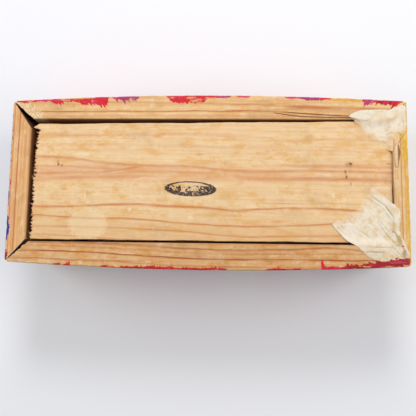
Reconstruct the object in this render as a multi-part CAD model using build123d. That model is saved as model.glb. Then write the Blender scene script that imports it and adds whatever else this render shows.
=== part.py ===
from build123d import *
import os
from math import sqrt

os.makedirs("parts", exist_ok=True)

# An old softwood puzzle box, lying turned over on its lid side: +X along the box, towards the end
# where the lid slides out, +Z out of the box's underside. The lid-side rims stand on Z = 0.

# the case
box_length = 160.0
box_width = 66.0          # over the corners
box_height = 40.0
crown = 2.4               # how far the long walls stand out at the middle of their length
north_stock = 7.6         # wall thicknesses at the corners
south_stock = 8.2
left_stock = 8.0
right_stock = 6.0
north_west_mitre_gap = 0.9   # the mitres at the left end have opened towards the inside
south_west_mitre_gap = 0.6

# the bottom panel, let in between the walls
panel_thickness = 6.0
panel_recess = 0.8        # below the walls' edges
panel_gap_north_left = 1.8
panel_gap_north_right = 0.3
panel_gap_south = 0.6
panel_gap_left_north = 2.4
panel_gap_left_south = 1.2
panel_gap_right = 0.3

# the sliding lid and its groove
lip_thickness = 2.4       # of the wall between the groove and the rim
groove_depth = 3.0
tongue_thickness = 2.6
tongue_clearance = 0.2    # above the tongue
side_clearance = 0.3      # beside the tongue and between the lips
lid_setback = 0.4         # of the lid's face below the rims
thumb_notch_radius = 8.0
thumb_notch_depth = 1.3
thumb_notch_from_end = 14.0

# the jigsaw puzzle, kept in layers of two columns
row_count = 4
column_count = 6
columns_per_layer = 2
kerf = 0.3                # the saw's cut between two pieces
knob_radius = 2.9
knob_reach = 4.7          # how far a knob stands out of its side
neck_width = 3.2
knob_wander = 1.6         # how far a knob sits off the middle of its side
stack_end_clearance = 1.2
stack_side_clearance = 0.8
layer_gap = 0.1           # between the lid and the first layer, and between two layers
headroom = 5.6            # over the stack, under the bottom panel

# brads
brad_radius = 0.6
brad_length = 18.0
brad_head_radius = 0.95
brad_head_thickness = 0.5
brad_hole_clearance = 0.05
brad_head_sunk = 0.15     # below the wall's face
panel_brads_per_long_wall = 3
panel_brad_end_margin = 26.0
panel_brads_per_end_wall = 2
panel_brad_side_margin = 18.0
corner_brad_heights = [12.0, 27.0]

# the glued paper patches, as thick as the paper, with a flap down the right wall
paper_thickness = 0.25
flap_drop = 6.0

# places worked out from the sizes above
left_x = -box_length / 2
right_x = box_length / 2
south_y = -box_width / 2
north_y = box_width / 2
inner_left_x = left_x + left_stock
inner_right_x = right_x - right_stock
inner_south_y = south_y + south_stock
inner_north_y = north_y - north_stock
groove_top = lip_thickness + tongue_thickness + tongue_clearance
lid_top = lip_thickness + tongue_thickness
panel_top = box_height - panel_recess
panel_bottom = panel_top - panel_thickness
stack_bottom = lid_top + layer_gap
layer_count = column_count // columns_per_layer
stack_height = panel_bottom - headroom - stack_bottom
piece_thickness = (stack_height - (layer_count - 1) * layer_gap) / layer_count
piece_length = (inner_right_x - inner_left_x - 2 * stack_end_clearance) / row_count
stack_width = inner_north_y - inner_south_y - 2 * stack_side_clearance
piece_width = (stack_width - knob_reach) / columns_per_layer
stack_left_x = inner_left_x + stack_end_clearance
stack_south_y = inner_south_y + stack_side_clearance


def crown_at(x):
    """How far a long wall's outer face stands out of the line between the corners."""
    half = box_length / 2
    radius = (half * half + crown * crown) / (2 * crown)
    return crown - radius + sqrt(radius * radius - x * x)


def plate(points, bottom, top):
    """A flat plate of the given outline, from the height bottom to the height top."""
    outline = make_face(Polyline(*points, close=True))
    return extrude(outline, top - bottom, dir=(0, 0, 1)).moved(Location((0, 0, bottom)))


def block(low, high):
    """A box from its lowest to its highest corner."""
    size = [b - a for a, b in zip(low, high)]
    middle = [(a + b) / 2 for a, b in zip(low, high)]
    return Pos(*middle) * Box(*size)


def long_wall(outer_y, inner_y):
    """A mitred long wall with a crowned outer face and a groove for the lid."""
    side = 1 if outer_y > inner_y else -1
    outer_edge = ThreePointArc((left_x, outer_y), (0, outer_y + side * crown), (right_x, outer_y))
    inner_edges = Polyline((right_x, outer_y), (inner_right_x, inner_y), (inner_left_x, inner_y),
                           (left_x, outer_y))
    wall = extrude(make_face([outer_edge, inner_edges]), box_height, dir=(0, 0, 1))
    groove_y = sorted([inner_y, inner_y + side * groove_depth])
    groove = block((inner_left_x - groove_depth, groove_y[0], lip_thickness),
                   (right_x, groove_y[1], groove_top))
    return wall - groove


def end_wall_left():
    """The left end wall, grooved for the lid, its mitres short of the long walls inside."""
    points = [(left_x, north_y), (inner_left_x, inner_north_y - north_west_mitre_gap),
              (inner_left_x, inner_south_y + south_west_mitre_gap), (left_x, south_y)]
    wall = plate(points, 0, box_height)
    groove = block((inner_left_x - groove_depth, south_y, lip_thickness),
                   (inner_left_x, north_y, groove_top))
    return wall - groove


def end_wall_right():
    """The right end wall, cut down so that the lid passes it."""
    points = [(right_x, north_y), (inner_right_x, inner_north_y), (inner_right_x, inner_south_y),
              (right_x, south_y)]
    return plate(points, groove_top, box_height)


def bottom_panel():
    """The panel between the walls, a little out of square at its left end."""
    points = [(inner_left_x + panel_gap_left_north, inner_north_y - panel_gap_north_left),
              (inner_right_x - panel_gap_right, inner_north_y - panel_gap_north_right),
              (inner_right_x - panel_gap_right, inner_south_y + panel_gap_south),
              (inner_left_x + panel_gap_left_south, inner_south_y + panel_gap_south)]
    return plate(points, panel_bottom, panel_top)


def sliding_lid():
    """The lid: tongues on three sides, a raised field between the lips, and a thumb notch."""
    tongue_reach = groove_depth - side_clearance
    tongues = block((inner_left_x - tongue_reach, inner_south_y - tongue_reach, lip_thickness),
                    (right_x, inner_north_y + tongue_reach, lid_top))
    field = block((inner_left_x + side_clearance, inner_south_y + side_clearance, lid_setback),
                  (right_x, inner_north_y - side_clearance, lip_thickness))
    notch_x = right_x - thumb_notch_from_end
    notch_y = (inner_south_y + inner_north_y) / 2
    notch = Pos(notch_x, notch_y, lid_setback) * Cylinder(thumb_notch_radius, 2 * thumb_notch_depth)
    straight_side = block((notch_x, south_y, -thumb_notch_depth),
                          (right_x, north_y, lid_setback + thumb_notch_depth))
    return tongues + field - (notch - straight_side)


def brad(head, direction, grow):
    """One brad, its head's face at the point head, pointing along direction.

    grow widens it, for the hole that it sits in, which then reaches out of the wall.
    """
    along = Plane(origin=head, z_dir=direction)
    shank = Cylinder(brad_radius + grow, brad_length, align=(Align.CENTER, Align.CENTER, Align.MIN))
    top = -crown if grow else 0
    cap = Pos(0, 0, top) * Cylinder(brad_head_radius + grow, brad_head_thickness - top,
                                    align=(Align.CENTER, Align.CENTER, Align.MIN))
    return along * (shank + cap)


def spread(low, high, count):
    """Evenly spaced places from low to high."""
    return [low + (high - low) * step / (count - 1) for step in range(count)]


def panel_brad_places():
    """Where the brads that hold the bottom panel start, and which way they point."""
    height = panel_top - panel_thickness / 2
    places = []
    for x in spread(left_x + panel_brad_end_margin, right_x - panel_brad_end_margin,
                    panel_brads_per_long_wall):
        face = crown_at(x) - brad_head_sunk
        places.append(((x, north_y + face, height), (0, -1, 0)))
        places.append(((x, south_y - face, height), (0, 1, 0)))
    for y in spread(south_y + panel_brad_side_margin, north_y - panel_brad_side_margin,
                    panel_brads_per_end_wall):
        places.append(((left_x + brad_head_sunk, y, height), (1, 0, 0)))
        places.append(((right_x - brad_head_sunk, y, height), (-1, 0, 0)))
    return places


def corner_brad_places():
    """Where the brads through the mitres start, in the middle of each end wall."""
    places = []
    for x in (left_x + left_stock / 2, right_x - right_stock / 2):
        face = crown_at(x) - brad_head_sunk
        for height in corner_brad_heights:
            places.append(((x, north_y + face, height), (0, -1, 0)))
            places.append(((x, south_y - face, height), (0, 1, 0)))
    return places


# a patch's outline, as steps from the box's corner: along the box inwards, and across it inwards
north_east_patch = [(0, 2.5), (0, 14.0), (6.4, 21.5), (18.4, 16.0), (22.2, 9.5), (22.8, 5.8),
                    (20.9, 4.6), (18.9, 3.7), (6.6, 3.7), (1.4, 1.2)]
south_east_patch = [(0, 3.5), (0, 14.0), (3.8, 22.0), (7.7, 25.6), (11.8, 29.1), (17.2, 32.2),
                    (16.9, 27.5), (20.2, 21.1), (26.9, 19.1), (30.3, 16.1), (27.8, 13.2),
                    (25.0, 10.1), (21.0, 7.8), (16.3, 3.2), (9.9, 1.4), (1.5, 0.7)]


def paper_patch(corner_y, outline, flap_from, flap_to):
    """Paper over the rim that dips onto the panel and is folded down over the right wall."""
    inwards = 1 if corner_y < 0 else -1
    points = [(right_x - along, corner_y + inwards * across) for along, across in outline]
    inside_low = (inner_left_x, inner_south_y, 0)
    inside_high = (inner_right_x, inner_north_y, 2 * box_height)
    inside = block(inside_low, inside_high)
    web_low = (inner_left_x, inner_south_y + paper_thickness, 0)
    web_high = (inner_right_x - paper_thickness, inner_north_y - paper_thickness, 2 * box_height)
    on_rim = plate(points, box_height, box_height + paper_thickness) - inside
    on_panel = plate(points, panel_top, panel_top + paper_thickness) & inside
    whole = plate(points, panel_top, box_height + paper_thickness) & inside
    web = whole - block(web_low, web_high)
    flap_y = sorted([corner_y + inwards * flap_from, corner_y + inwards * flap_to])
    flap = block((right_x, flap_y[0], box_height - flap_drop),
                 (right_x + paper_thickness, flap_y[1], box_height + paper_thickness))
    return on_rim + on_panel + web + flap


def knob(x, y, turn, grow):
    """A knob that starts on a side at (x, y) and stands out at the angle turn from +X."""
    centre = knob_reach - knob_radius
    disc = Pos(centre, 0) * Circle(knob_radius + grow)
    neck = Pos(centre / 2 - kerf, 0) * Rectangle(centre + 2 * kerf, neck_width + 2 * grow)
    return Pos(x, y) * Rot(0, 0, turn) * (disc + neck)


def knob_place(row, column, across):
    """How far the knob between two pieces sits off the middle of their shared side."""
    step = (row * 2 + column * 3 + across) % 3 - 1
    return knob_wander * step


def knob_points_right(row, column):
    """Whether the knob after this row's piece stands out to the right, or the next one's to the left."""
    return (row + column) % 2 == 0


def jigsaw_piece(row, column):
    """One interlocking piece. Rows run along the box and columns across it."""
    slot = column % columns_per_layer
    layer = column // columns_per_layer
    low_x = stack_left_x + row * piece_length
    low_y = stack_south_y + slot * piece_width
    middle_x = low_x + piece_length / 2
    middle_y = low_y + piece_width / 2
    outline = Pos(middle_x, middle_y) * Rectangle(piece_length - kerf, piece_width - kerf)
    high_x = low_x + piece_length
    if row < row_count - 1:
        side_y = middle_y + knob_place(row, column, 0)
        if knob_points_right(row, column):
            outline = outline + knob(high_x - kerf / 2, side_y, 0, 0)
        else:
            outline = outline - knob(high_x + kerf / 2, side_y, 180, kerf)
    if row > 0:
        side_y = middle_y + knob_place(row - 1, column, 0)
        if knob_points_right(row - 1, column):
            outline = outline - knob(low_x - kerf / 2, side_y, 0, kerf)
        else:
            outline = outline + knob(low_x + kerf / 2, side_y, 180, 0)
    if column < column_count - 1:
        side_x = middle_x + knob_place(row, column, 1)
        outline = outline + knob(side_x, low_y + piece_width - kerf / 2, 90, 0)
    if column > 0:
        side_x = middle_x + knob_place(row, column - 1, 1)
        outline = outline - knob(side_x, low_y - kerf / 2, 90, kerf)
    bottom = stack_bottom + layer * (piece_thickness + layer_gap)
    piece = extrude(outline, piece_thickness, dir=(0, 0, 1))
    return piece.moved(Location((0, 0, bottom)))


panel_brads = [brad(head, way, 0) for head, way in panel_brad_places()]
corner_brads = [brad(head, way, 0) for head, way in corner_brad_places()]
brad_holes = [brad(head, way, brad_hole_clearance)
              for head, way in panel_brad_places() + corner_brad_places()]


def drilled(shape):
    """The shape with a hole for every brad that passes it."""
    for hole in brad_holes:
        shape = shape - hole
    return shape


export_step(drilled(long_wall(north_y, inner_north_y)), "parts/long_wall_north.step")
export_step(drilled(long_wall(south_y, inner_south_y)), "parts/long_wall_south.step")
export_step(drilled(end_wall_left()), "parts/end_wall_left.step")
export_step(drilled(end_wall_right()), "parts/end_wall_right.step")
export_step(drilled(bottom_panel()), "parts/bottom_panel.step")
export_step(Compound(panel_brads), "parts/bottom_brads.step")
export_step(Compound(corner_brads), "parts/corner_brads.step")
patch_ne = paper_patch(north_y, north_east_patch, 2.5, 14.0)
patch_se = paper_patch(south_y, south_east_patch, 3.5, 12.0)
export_step(patch_ne, "parts/paper_patch_ne.step")
export_step(patch_se, "parts/paper_patch_se.step")
export_step(sliding_lid(), "parts/sliding_lid.step")
for row in range(row_count):
    for column in range(column_count):
        name = f"jigsaw_piece_r{row + 1}_c{column + 1}"
        export_step(jigsaw_piece(row, column), f"parts/{name}.step")

print("cavity", inner_right_x - inner_left_x, "by", inner_north_y - inner_south_y)
print("pieces", piece_length, piece_width, piece_thickness, "headroom", headroom)
print("stack top", stack_bottom + stack_height, "panel bottom", panel_bottom)
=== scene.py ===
import math
import bmesh
import bpy
import numpy as np
from mathutils import Matrix, Vector, noise
from mathutils.geometry import delaunay_2d_cdt


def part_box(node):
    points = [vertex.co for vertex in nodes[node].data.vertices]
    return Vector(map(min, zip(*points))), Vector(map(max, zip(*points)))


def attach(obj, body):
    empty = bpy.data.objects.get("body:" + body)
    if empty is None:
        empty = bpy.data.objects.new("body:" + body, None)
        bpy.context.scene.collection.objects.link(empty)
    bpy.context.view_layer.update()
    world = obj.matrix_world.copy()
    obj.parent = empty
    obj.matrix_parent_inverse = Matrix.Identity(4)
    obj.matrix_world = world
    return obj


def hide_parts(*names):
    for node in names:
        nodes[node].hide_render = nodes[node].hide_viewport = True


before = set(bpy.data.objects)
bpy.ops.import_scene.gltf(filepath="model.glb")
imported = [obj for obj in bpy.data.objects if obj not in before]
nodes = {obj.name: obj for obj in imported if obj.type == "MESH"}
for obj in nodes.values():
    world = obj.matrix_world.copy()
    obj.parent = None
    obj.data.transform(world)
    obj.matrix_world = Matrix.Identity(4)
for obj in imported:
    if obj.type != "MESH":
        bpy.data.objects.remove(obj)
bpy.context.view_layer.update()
scene = bpy.context.scene
scene.view_settings.view_transform = "Standard"
mm = 0.001

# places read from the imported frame, in millimetres


def nodeBox(name):
    low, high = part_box(name)
    return np.array(low) / mm, np.array(high) / mm


northLow, northHigh = nodeBox("long_wall_north")
southLow, southHigh = nodeBox("long_wall_south")
leftLow, leftHigh = nodeBox("end_wall_left")
rightLow, rightHigh = nodeBox("end_wall_right")
panelLow, panelHigh = nodeBox("bottom_panel")
lidHigh = nodeBox("sliding_lid")[1]

plan = dict(
    left=leftLow[0], right=rightHigh[0], south=leftLow[1], north=leftHigh[1],
    innerLeft=leftHigh[0], innerRight=rightLow[0], innerSouth=southHigh[1], innerNorth=northLow[1],
    top=leftHigh[2], panelTop=panelHigh[2], crown=northHigh[1] - leftHigh[1],
)
print("frame read, box", np.round(northHigh - southLow, 2))


# small helpers for node trees


def put(tree, kind, values=None, **settings):
    node = tree.nodes.new(kind)
    for key, value in settings.items():
        setattr(node, key, value)
    for key, value in (values or {}).items():
        socket = node.inputs[key]
        if isinstance(value, bpy.types.NodeSocket):
            tree.links.new(value, socket)
        else:
            socket.default_value = value
    return node


def calc(tree, operation, a, b=0.0, clamp=False):
    return put(tree, "ShaderNodeMath", {0: a, 1: b}, operation=operation, use_clamp=clamp).outputs[0]


def times(tree, a, b):
    return calc(tree, "MULTIPLY", a, b)


def plus(tree, a, b):
    return calc(tree, "ADD", a, b)


def minus(tree, a, b):
    return calc(tree, "SUBTRACT", a, b)


# A value around 0.5, such as a cloud's, as a swing to both sides of zero.
def swing(tree, value, amount, middle=0.5):
    return times(tree, minus(tree, value, middle), amount)


def mixColour(tree, factor, a, b, mode="MIX"):
    node = put(tree, "ShaderNodeMix", {0: factor, 6: a, 7: b}, data_type="RGBA", blend_type=mode)
    return node.outputs[2]


# A colour with a tone over it where a mask says, at a given strength.
def overlay(tree, colour, mask, strength, tone):
    return mixColour(tree, times(tree, mask, strength), colour, tone)


def between(tree, value, low, high, toLow=0.0, toHigh=1.0):
    values = {"Value": value, "From Min": low, "From Max": high, "To Min": toLow, "To Max": toHigh}
    return put(tree, "ShaderNodeMapRange", values, interpolation_type="SMOOTHSTEP").outputs[0]


def between01(tree, value, low, high):
    return put(tree, "ShaderNodeMapRange", {"Value": value, "From Min": low, "From Max": high}).outputs[0]


def axes(tree, vector):
    return put(tree, "ShaderNodeSeparateXYZ", {0: vector}).outputs


# The same place moved across the grain by an amount that changes over the piece.
def movedAcross(tree, parts, amount):
    values = {0: parts[0], 1: plus(tree, parts[1], amount), 2: parts[2]}
    return put(tree, "ShaderNodeCombineXYZ", values).outputs[0]


def mapping(tree, vector, factors=(1, 1, 1), shift=(0, 0, 0), turn=0.0):
    values = {"Vector": vector, "Location": shift, "Rotation": (0, 0, turn), "Scale": factors}
    return put(tree, "ShaderNodeMapping", values).outputs[0]


def cloud(tree, vector, scale, detail=3.0, rough=0.55, distortion=0.0):
    values = {"Vector": vector, "Scale": scale, "Detail": detail, "Roughness": rough,
              "Distortion": distortion}
    return put(tree, "ShaderNodeTexNoise", values).outputs[0]


# A cloud drawn out by its own factor along each axis.
def drawnCloud(tree, vector, factors, detail=3.0, rough=0.55, distortion=0.0, shift=(0, 0, 0)):
    return cloud(tree, mapping(tree, vector, factors, shift), 1.0, detail, rough, distortion)


def attribute(tree, name, output="Fac"):
    return put(tree, "ShaderNodeAttribute", attribute_name=name).outputs[output]


def bump(tree, height, strength, distance):
    values = {"Strength": strength, "Distance": distance, "Height": height}
    return put(tree, "ShaderNodeBump", values).outputs[0]


def ramp(tree, value, stops):
    node = put(tree, "ShaderNodeValToRGB", {0: value})
    points = node.color_ramp.elements
    while len(points) < len(stops):
        points.new(0.5)
    for point, (place, level) in zip(points, sorted(stops)):
        point.position = place
        point.color = (level, level, level, 1)
    return node.outputs[0]


# A colour given as a screen shows it, for the shader's linear sockets.
def rgb(red, green, blue):
    return tuple(((c / 255 + 0.055) / 1.055) ** 2.4 for c in (red, green, blue)) + (1,)


def newMaterial(name):
    material = bpy.data.materials.new(name)
    material.use_nodes = True
    tree = material.node_tree
    tree.nodes.clear()
    shader = put(tree, "ShaderNodeBsdfPrincipled")
    put(tree, "ShaderNodeOutputMaterial", {"Surface": shader.outputs[0]})
    return material, tree, shader


def addSocket(tree, label, way, kind, value=None):
    socket = tree.interface.new_socket(label, in_out=way, socket_type="NodeSocket" + kind)
    if value is not None:
        socket.default_value = value


# A shader group. Each input is a number, a vector or a colour, as its value is.
def newGroup(name, inputs, outputs):
    tree = bpy.data.node_groups.new(name, "ShaderNodeTree")
    kinds = {3: "Vector", 4: "Color"}
    for label, value in inputs.items():
        addSocket(tree, label, "INPUT", kinds[len(value)] if isinstance(value, tuple) else "Float", value)
    for label in outputs:
        addSocket(tree, label, "OUTPUT", "Color" if label == "Color" else "Float")
    return tree, put(tree, "NodeGroupInput").outputs, put(tree, "NodeGroupOutput").inputs


def useGroup(tree, group, values):
    return put(tree, "ShaderNodeGroup", values, node_tree=group).outputs


def millimetres(tree):
    place = put(tree, "ShaderNodeTexCoord").outputs["Object"]
    return put(tree, "ShaderNodeVectorMath", {0: place, "Scale": 1 / mm}, operation="SCALE").outputs[0]


# effects that several finishes share

# how far each cloud is drawn out along the grain and across it
softwoodClouds = dict(
    fibre=dict(factors=(0.05, 2.6, 2.6), detail=5.0, rough=0.62),
    streak=dict(factors=(0.012, 0.55, 0.55), detail=4.0, rough=0.6),
    blotch=dict(factors=(0.11, 0.3, 0.3), rough=0.6),
    dash=dict(factors=(0.35, 3.2, 3.2), detail=1.0, rough=0.5, shift=(40, 0, 0)),
    fleck=dict(factors=(0.3, 0.5, 0.5), detail=4.0, rough=0.7, shift=(5, 2, 8)),
    patch=dict(factors=(0.05, 0.08, 0.08), detail=2.0, shift=(2, 7, 1)),
    bare=dict(factors=(0.2, 0.42, 0.42), detail=5.0, rough=0.7, shift=(1, 9, 3)),
)
softwoodSpec = dict(bareTone=rgb(250, 226, 188), poreDepth=0.22, fibreDepth=0.2)


# Fibre, mottling and pores of planed softwood. Its vector is in millimetres with the grain along X.
def makeSoftwoodGroup():
    inputs = {"Vector": (0, 0, 0), "Rings": 0.0, "Pale": rgb(240, 204, 150), "Late": rgb(196, 120, 62),
              "Honey": rgb(232, 178, 92), "Mottling": 0.5, "Streaks": 0.34, "Foxing": 0.5}
    tree, given, made = newGroup("softwood", inputs, ("Color", "Height", "Rough"))
    clouds = {name: drawnCloud(tree, given["Vector"], **spec) for name, spec in softwoodClouds.items()}
    late, honey = given["Late"], given["Honey"]
    ground = overlay(tree, given["Pale"], between(tree, clouds["streak"], 0.38, 0.7), given["Streaks"], late)
    ground = overlay(tree, ground, between(tree, clouds["blotch"], 0.48, 0.7), given["Mottling"], honey)
    foxed = times(tree, between(tree, clouds["fleck"], 0.46, 0.7), between(tree, clouds["patch"], 0.42, 0.6))
    ground = overlay(tree, ground, foxed, given["Foxing"], honey)
    ground = overlay(tree, ground, between(tree, clouds["bare"], 0.5, 0.7), 0.5, softwoodSpec["bareTone"])
    ringed = mixColour(tree, given["Rings"], ground, late)
    fibres = between(tree, clouds["fibre"], 0.56, 0.3, 0.0, softwoodSpec["fibreDepth"])
    pores = between(tree, clouds["dash"], 0.7, 0.8, 0.0, softwoodSpec["poreDepth"])
    coloured = mixColour(tree, pores, mixColour(tree, fibres, ringed, late), late)
    tree.links.new(coloured, made["Color"])
    height = minus(tree, times(tree, clouds["fibre"], 0.6), times(tree, pores, 0.5))
    tree.links.new(plus(tree, height, times(tree, given["Rings"], 0.5)), made["Height"])
    tree.links.new(between(tree, clouds["fibre"], 0.2, 0.8, 0.5, 0.68), made["Rough"])
    return tree


# The softwood group's inputs that a look gives.
def woodValues(look):
    return {key.capitalize(): look[key] for key in ("pale", "late", "honey", "mottling", "streaks", "foxing")}


grimeSpec = dict(dirt=rgb(158, 112, 68), scratch=rgb(248, 222, 178), scratchTurn=0.9)


# Handling dirt: soft grey-brown clouds, and small scratches that show pale.
def makeGrimeGroup():
    inputs = {"Vector": (0, 0, 0), "Color": rgb(220, 180, 130), "Grime": 0.3, "Scratches": 0.3}
    tree, given, made = newGroup("grime", inputs, ("Color",))
    soft = between(tree, cloud(tree, given["Vector"], 0.09, 5.0, 0.62, 0.4), 0.5, 0.78)
    dirty = overlay(tree, given["Color"], soft, given["Grime"], grimeSpec["dirt"])
    turned = mapping(tree, given["Vector"], (0.9, 0.06, 0.5), turn=grimeSpec["scratchTurn"])
    lines = between(tree, cloud(tree, turned, 1.6, 2.0, 0.5, 1.0), 0.7, 0.74)
    tree.links.new(overlay(tree, dirty, lines, given["Scratches"], grimeSpec["scratch"]), made["Color"])
    return tree


paintSpec = dict(
    bristle=dict(factors=(0.35, 2.4, 2.4), rough=0.6),
    thin=dict(factors=(0.12, 0.4, 0.5), detail=4.0, rough=0.6, shift=(9, 5, 2)),
    rosy=dict(factors=(0.3, 1.1, 0.8), rough=0.6, shift=(3, 8, 5)),
    rose=rgb(216, 84, 116), edgeSwing=3.4, bristleSwing=2.2,
)


# Old brushed paint whose edge breaks up. Reach is how far inside the paint a point lies, in millimetres.
def makePaintGroup():
    inputs = {"Vector": (0, 0, 0), "Reach": -3.0, "Tint": rgb(214, 40, 48), "Under": rgb(228, 184, 72),
              "Ragged": 1.0}
    tree, given, made = newGroup("brushed_paint", inputs, ("Color", "Mask", "Height"))
    vector = given["Vector"]
    bristle = drawnCloud(tree, vector, **paintSpec["bristle"])
    broken = plus(tree, swing(tree, cloud(tree, vector, 0.9, 4.0, 0.65), paintSpec["edgeSwing"]),
                  swing(tree, bristle, paintSpec["bristleSwing"]))
    reach = plus(tree, given["Reach"], times(tree, broken, given["Ragged"]))
    chip = between(tree, cloud(tree, vector, 0.16, 6.0, 0.7, 0.3), 0.63, 0.66)
    mask = times(tree, between(tree, reach, 0.0, 0.16), minus(tree, 1.0, chip))
    tone = between(tree, bristle, 0.25, 0.8, 0.82, 1.12)
    tones = put(tree, "ShaderNodeCombineColor", {0: tone, 1: tone, 2: tone}).outputs[0]
    toned = mixColour(tree, 1.0, given["Tint"], tones, "MULTIPLY")
    rosy = between(tree, drawnCloud(tree, vector, **paintSpec["rosy"]), 0.5, 0.68)
    toned = overlay(tree, toned, rosy, 0.45, paintSpec["rose"])
    thin = between(tree, drawnCloud(tree, vector, **paintSpec["thin"]), 0.56, 0.62)
    tree.links.new(overlay(tree, toned, thin, 0.75, given["Under"]), made["Color"])
    tree.links.new(mask, made["Mask"])
    tree.links.new(times(tree, mask, plus(tree, 0.6, times(tree, bristle, 0.8))), made["Height"])
    return tree


# A soft-edged elliptical spot with a broken outline, for stains, ink and dents.
def makeSpotGroup():
    inputs = {"Vector": (0, 0, 0), "Centre": (0, 0, 0), "Size": (1, 1, 100), "Softness": 0.3, "Ragged": 0.3}
    tree, given, made = newGroup("spot", inputs, ("Mask",))
    vector = given["Vector"]
    away = put(tree, "ShaderNodeVectorMath", {0: vector, 1: given["Centre"]}, operation="SUBTRACT").outputs[0]
    shape = put(tree, "ShaderNodeVectorMath", {0: away, 1: given["Size"]}, operation="DIVIDE").outputs[0]
    distance = put(tree, "ShaderNodeVectorMath", {0: shape}, operation="LENGTH").outputs["Value"]
    wobble = swing(tree, cloud(tree, vector, 1.1, 4.0, 0.6), given["Ragged"])
    inner = minus(tree, 1.0, given["Softness"])
    tree.links.new(between(tree, plus(tree, distance, wobble), inner, 1.0, 1.0, 0.0), made["Mask"])
    return tree


softwood = makeSoftwoodGroup()
grime = makeGrimeGroup()
brushedPaint = makePaintGroup()
spotGroup = makeSpotGroup()
print("shader groups made")


def spot(tree, vector, centre, size, softness, ragged):
    deep = 1e4  # a spot goes right through the piece
    values = {"Vector": vector, "Centre": (*centre, 0), "Size": (*size, deep), "Softness": softness,
              "Ragged": ragged}
    return useGroup(tree, spotGroup, values)["Mask"]


# Late-wood lines at given places: each darkens slowly and ends at a sharper edge.
def ringLines(tree, across, lines, low, high):
    stops = [(0.0, 0.0)]
    for place, width, depth in sorted(lines):
        middle = (place - low) / (high - low)
        soft = width / (high - low)
        stops += [(middle - soft, 0.0), (middle, depth), (middle + 0.3 * soft, 0.0)]
    return ramp(tree, between01(tree, across, low, high), stops)


grainField = dict(along=84.0, across=42.0, fade=6)


# One late-wood line that follows its own course over the board, as a mask.
def drawnLine(tree, along, across, line):
    span, reach, fade = grainField["along"], grainField["across"], grainField["fade"]
    curve = put(tree, "ShaderNodeFloatCurve", {"Value": between01(tree, along, -span, span)})
    points = curve.mapping.curves[0].points
    course = line["course"]
    while len(points) < len(course):
        points.new(0.5, 0.5)
    for point, (x, y) in zip(points, course):
        point.location = ((x + span) / (2 * span), (y + reach) / (2 * reach))
    curve.mapping.update()
    middle = minus(tree, times(tree, curve.outputs[0], 2 * reach), reach)
    away = calc(tree, "DIVIDE", minus(tree, across, middle), line["width"])
    lower = between(tree, away, -1.0, 0.0)
    upper = between(tree, away, line.get("edge", 0.7), 0.0)
    mask = times(tree, times(tree, lower, upper), line["depth"])
    start, stop = line.get("start", -200), line.get("stop", 200)
    mask = times(tree, mask, between(tree, along, start - fade, start + fade))
    return times(tree, mask, between(tree, along, stop + fade, stop - fade))


# All drawn lines of a board together, a little wavy and fainter in places.
def drawnLines(tree, place, lines):
    parts = axes(tree, place)
    small = drawnCloud(tree, place, (0.10, 0.3, 0.3), shift=(4, 4, 4))
    across = plus(tree, parts[1], swing(tree, small, 0.9))
    total = 0.0
    for line in lines:
        mask = drawnLine(tree, parts[0], across, line)
        total = mask if total == 0.0 else calc(tree, "MAXIMUM", total, mask)
    faint = drawnCloud(tree, place, (0.06, 0.5, 0.5), 4.0, 0.6, shift=(9, 1, 5))
    return times(tree, total, between(tree, faint, 0.3, 0.62, 0.45, 1.05))


def finishWood(tree, shader, colour, height, rough, strength=0.12):
    tree.links.new(colour, shader.inputs["Base Color"])
    tree.links.new(rough, shader.inputs["Roughness"])
    tree.links.new(bump(tree, height, strength, 0.0003), shader.inputs["Normal"])
    shader.inputs["Specular IOR Level"].default_value = 0.3


# meshes


# A smooth random line through the given places, between about -1 and 1.
def wander(values, longest, seed, waves=5):
    pick = np.random.default_rng(seed)
    total = np.zeros_like(values, dtype=float)
    for wave in range(waves):
        length = longest / 1.9 ** wave
        total += np.sin(2 * math.pi * (values / length + pick.random())) * 0.62 ** wave
    return total / 1.8


# Smooth noise at each point, between about -1 and 1.
def lumps(points, scale, seed=0.0):
    return np.array([noise.noise(Vector((p[0] * scale + seed, p[1] * scale, p[2] * scale))) for p in points])


# A mesh of points in millimetres, its faces pointing outwards.
def newPiece(name, vertices, faces, material, body, replaced=(), smoothAngle=38):
    mesh = bpy.data.meshes.new(name)
    mesh.from_pydata([tuple(v) for v in np.asarray(vertices) * mm], [], faces)
    mesh.validate()
    shape = bmesh.new()
    shape.from_mesh(mesh)
    bmesh.ops.recalc_face_normals(shape, faces=shape.faces)
    shape.to_mesh(mesh)
    shape.free()
    return placePiece(name, mesh, material, body, replaced, smoothAngle)


def placePiece(name, mesh, material, body, replaced=(), smoothAngle=38):
    piece = bpy.data.objects.new(name, mesh)
    scene.collection.objects.link(piece)
    mesh.materials.clear()
    mesh.materials.append(material)
    mesh.polygons.foreach_set("material_index", [0] * len(mesh.polygons))
    mesh.shade_smooth()
    mesh.set_sharp_from_angle(angle=math.radians(smoothAngle))
    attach(piece, body)
    if replaced:
        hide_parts(*replaced)
    return piece


def pointValues(piece, name, values):
    layer = piece.data.attributes.new(name, "FLOAT", "POINT")
    layer.data.foreach_set("value", np.asarray(values, np.float32))


def pointColours(piece, name, colours):
    layer = piece.data.attributes.new(name, "FLOAT_COLOR", "POINT")
    layer.data.foreach_set("color", np.asarray(colours, np.float32).ravel())


# the four mitred walls

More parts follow.
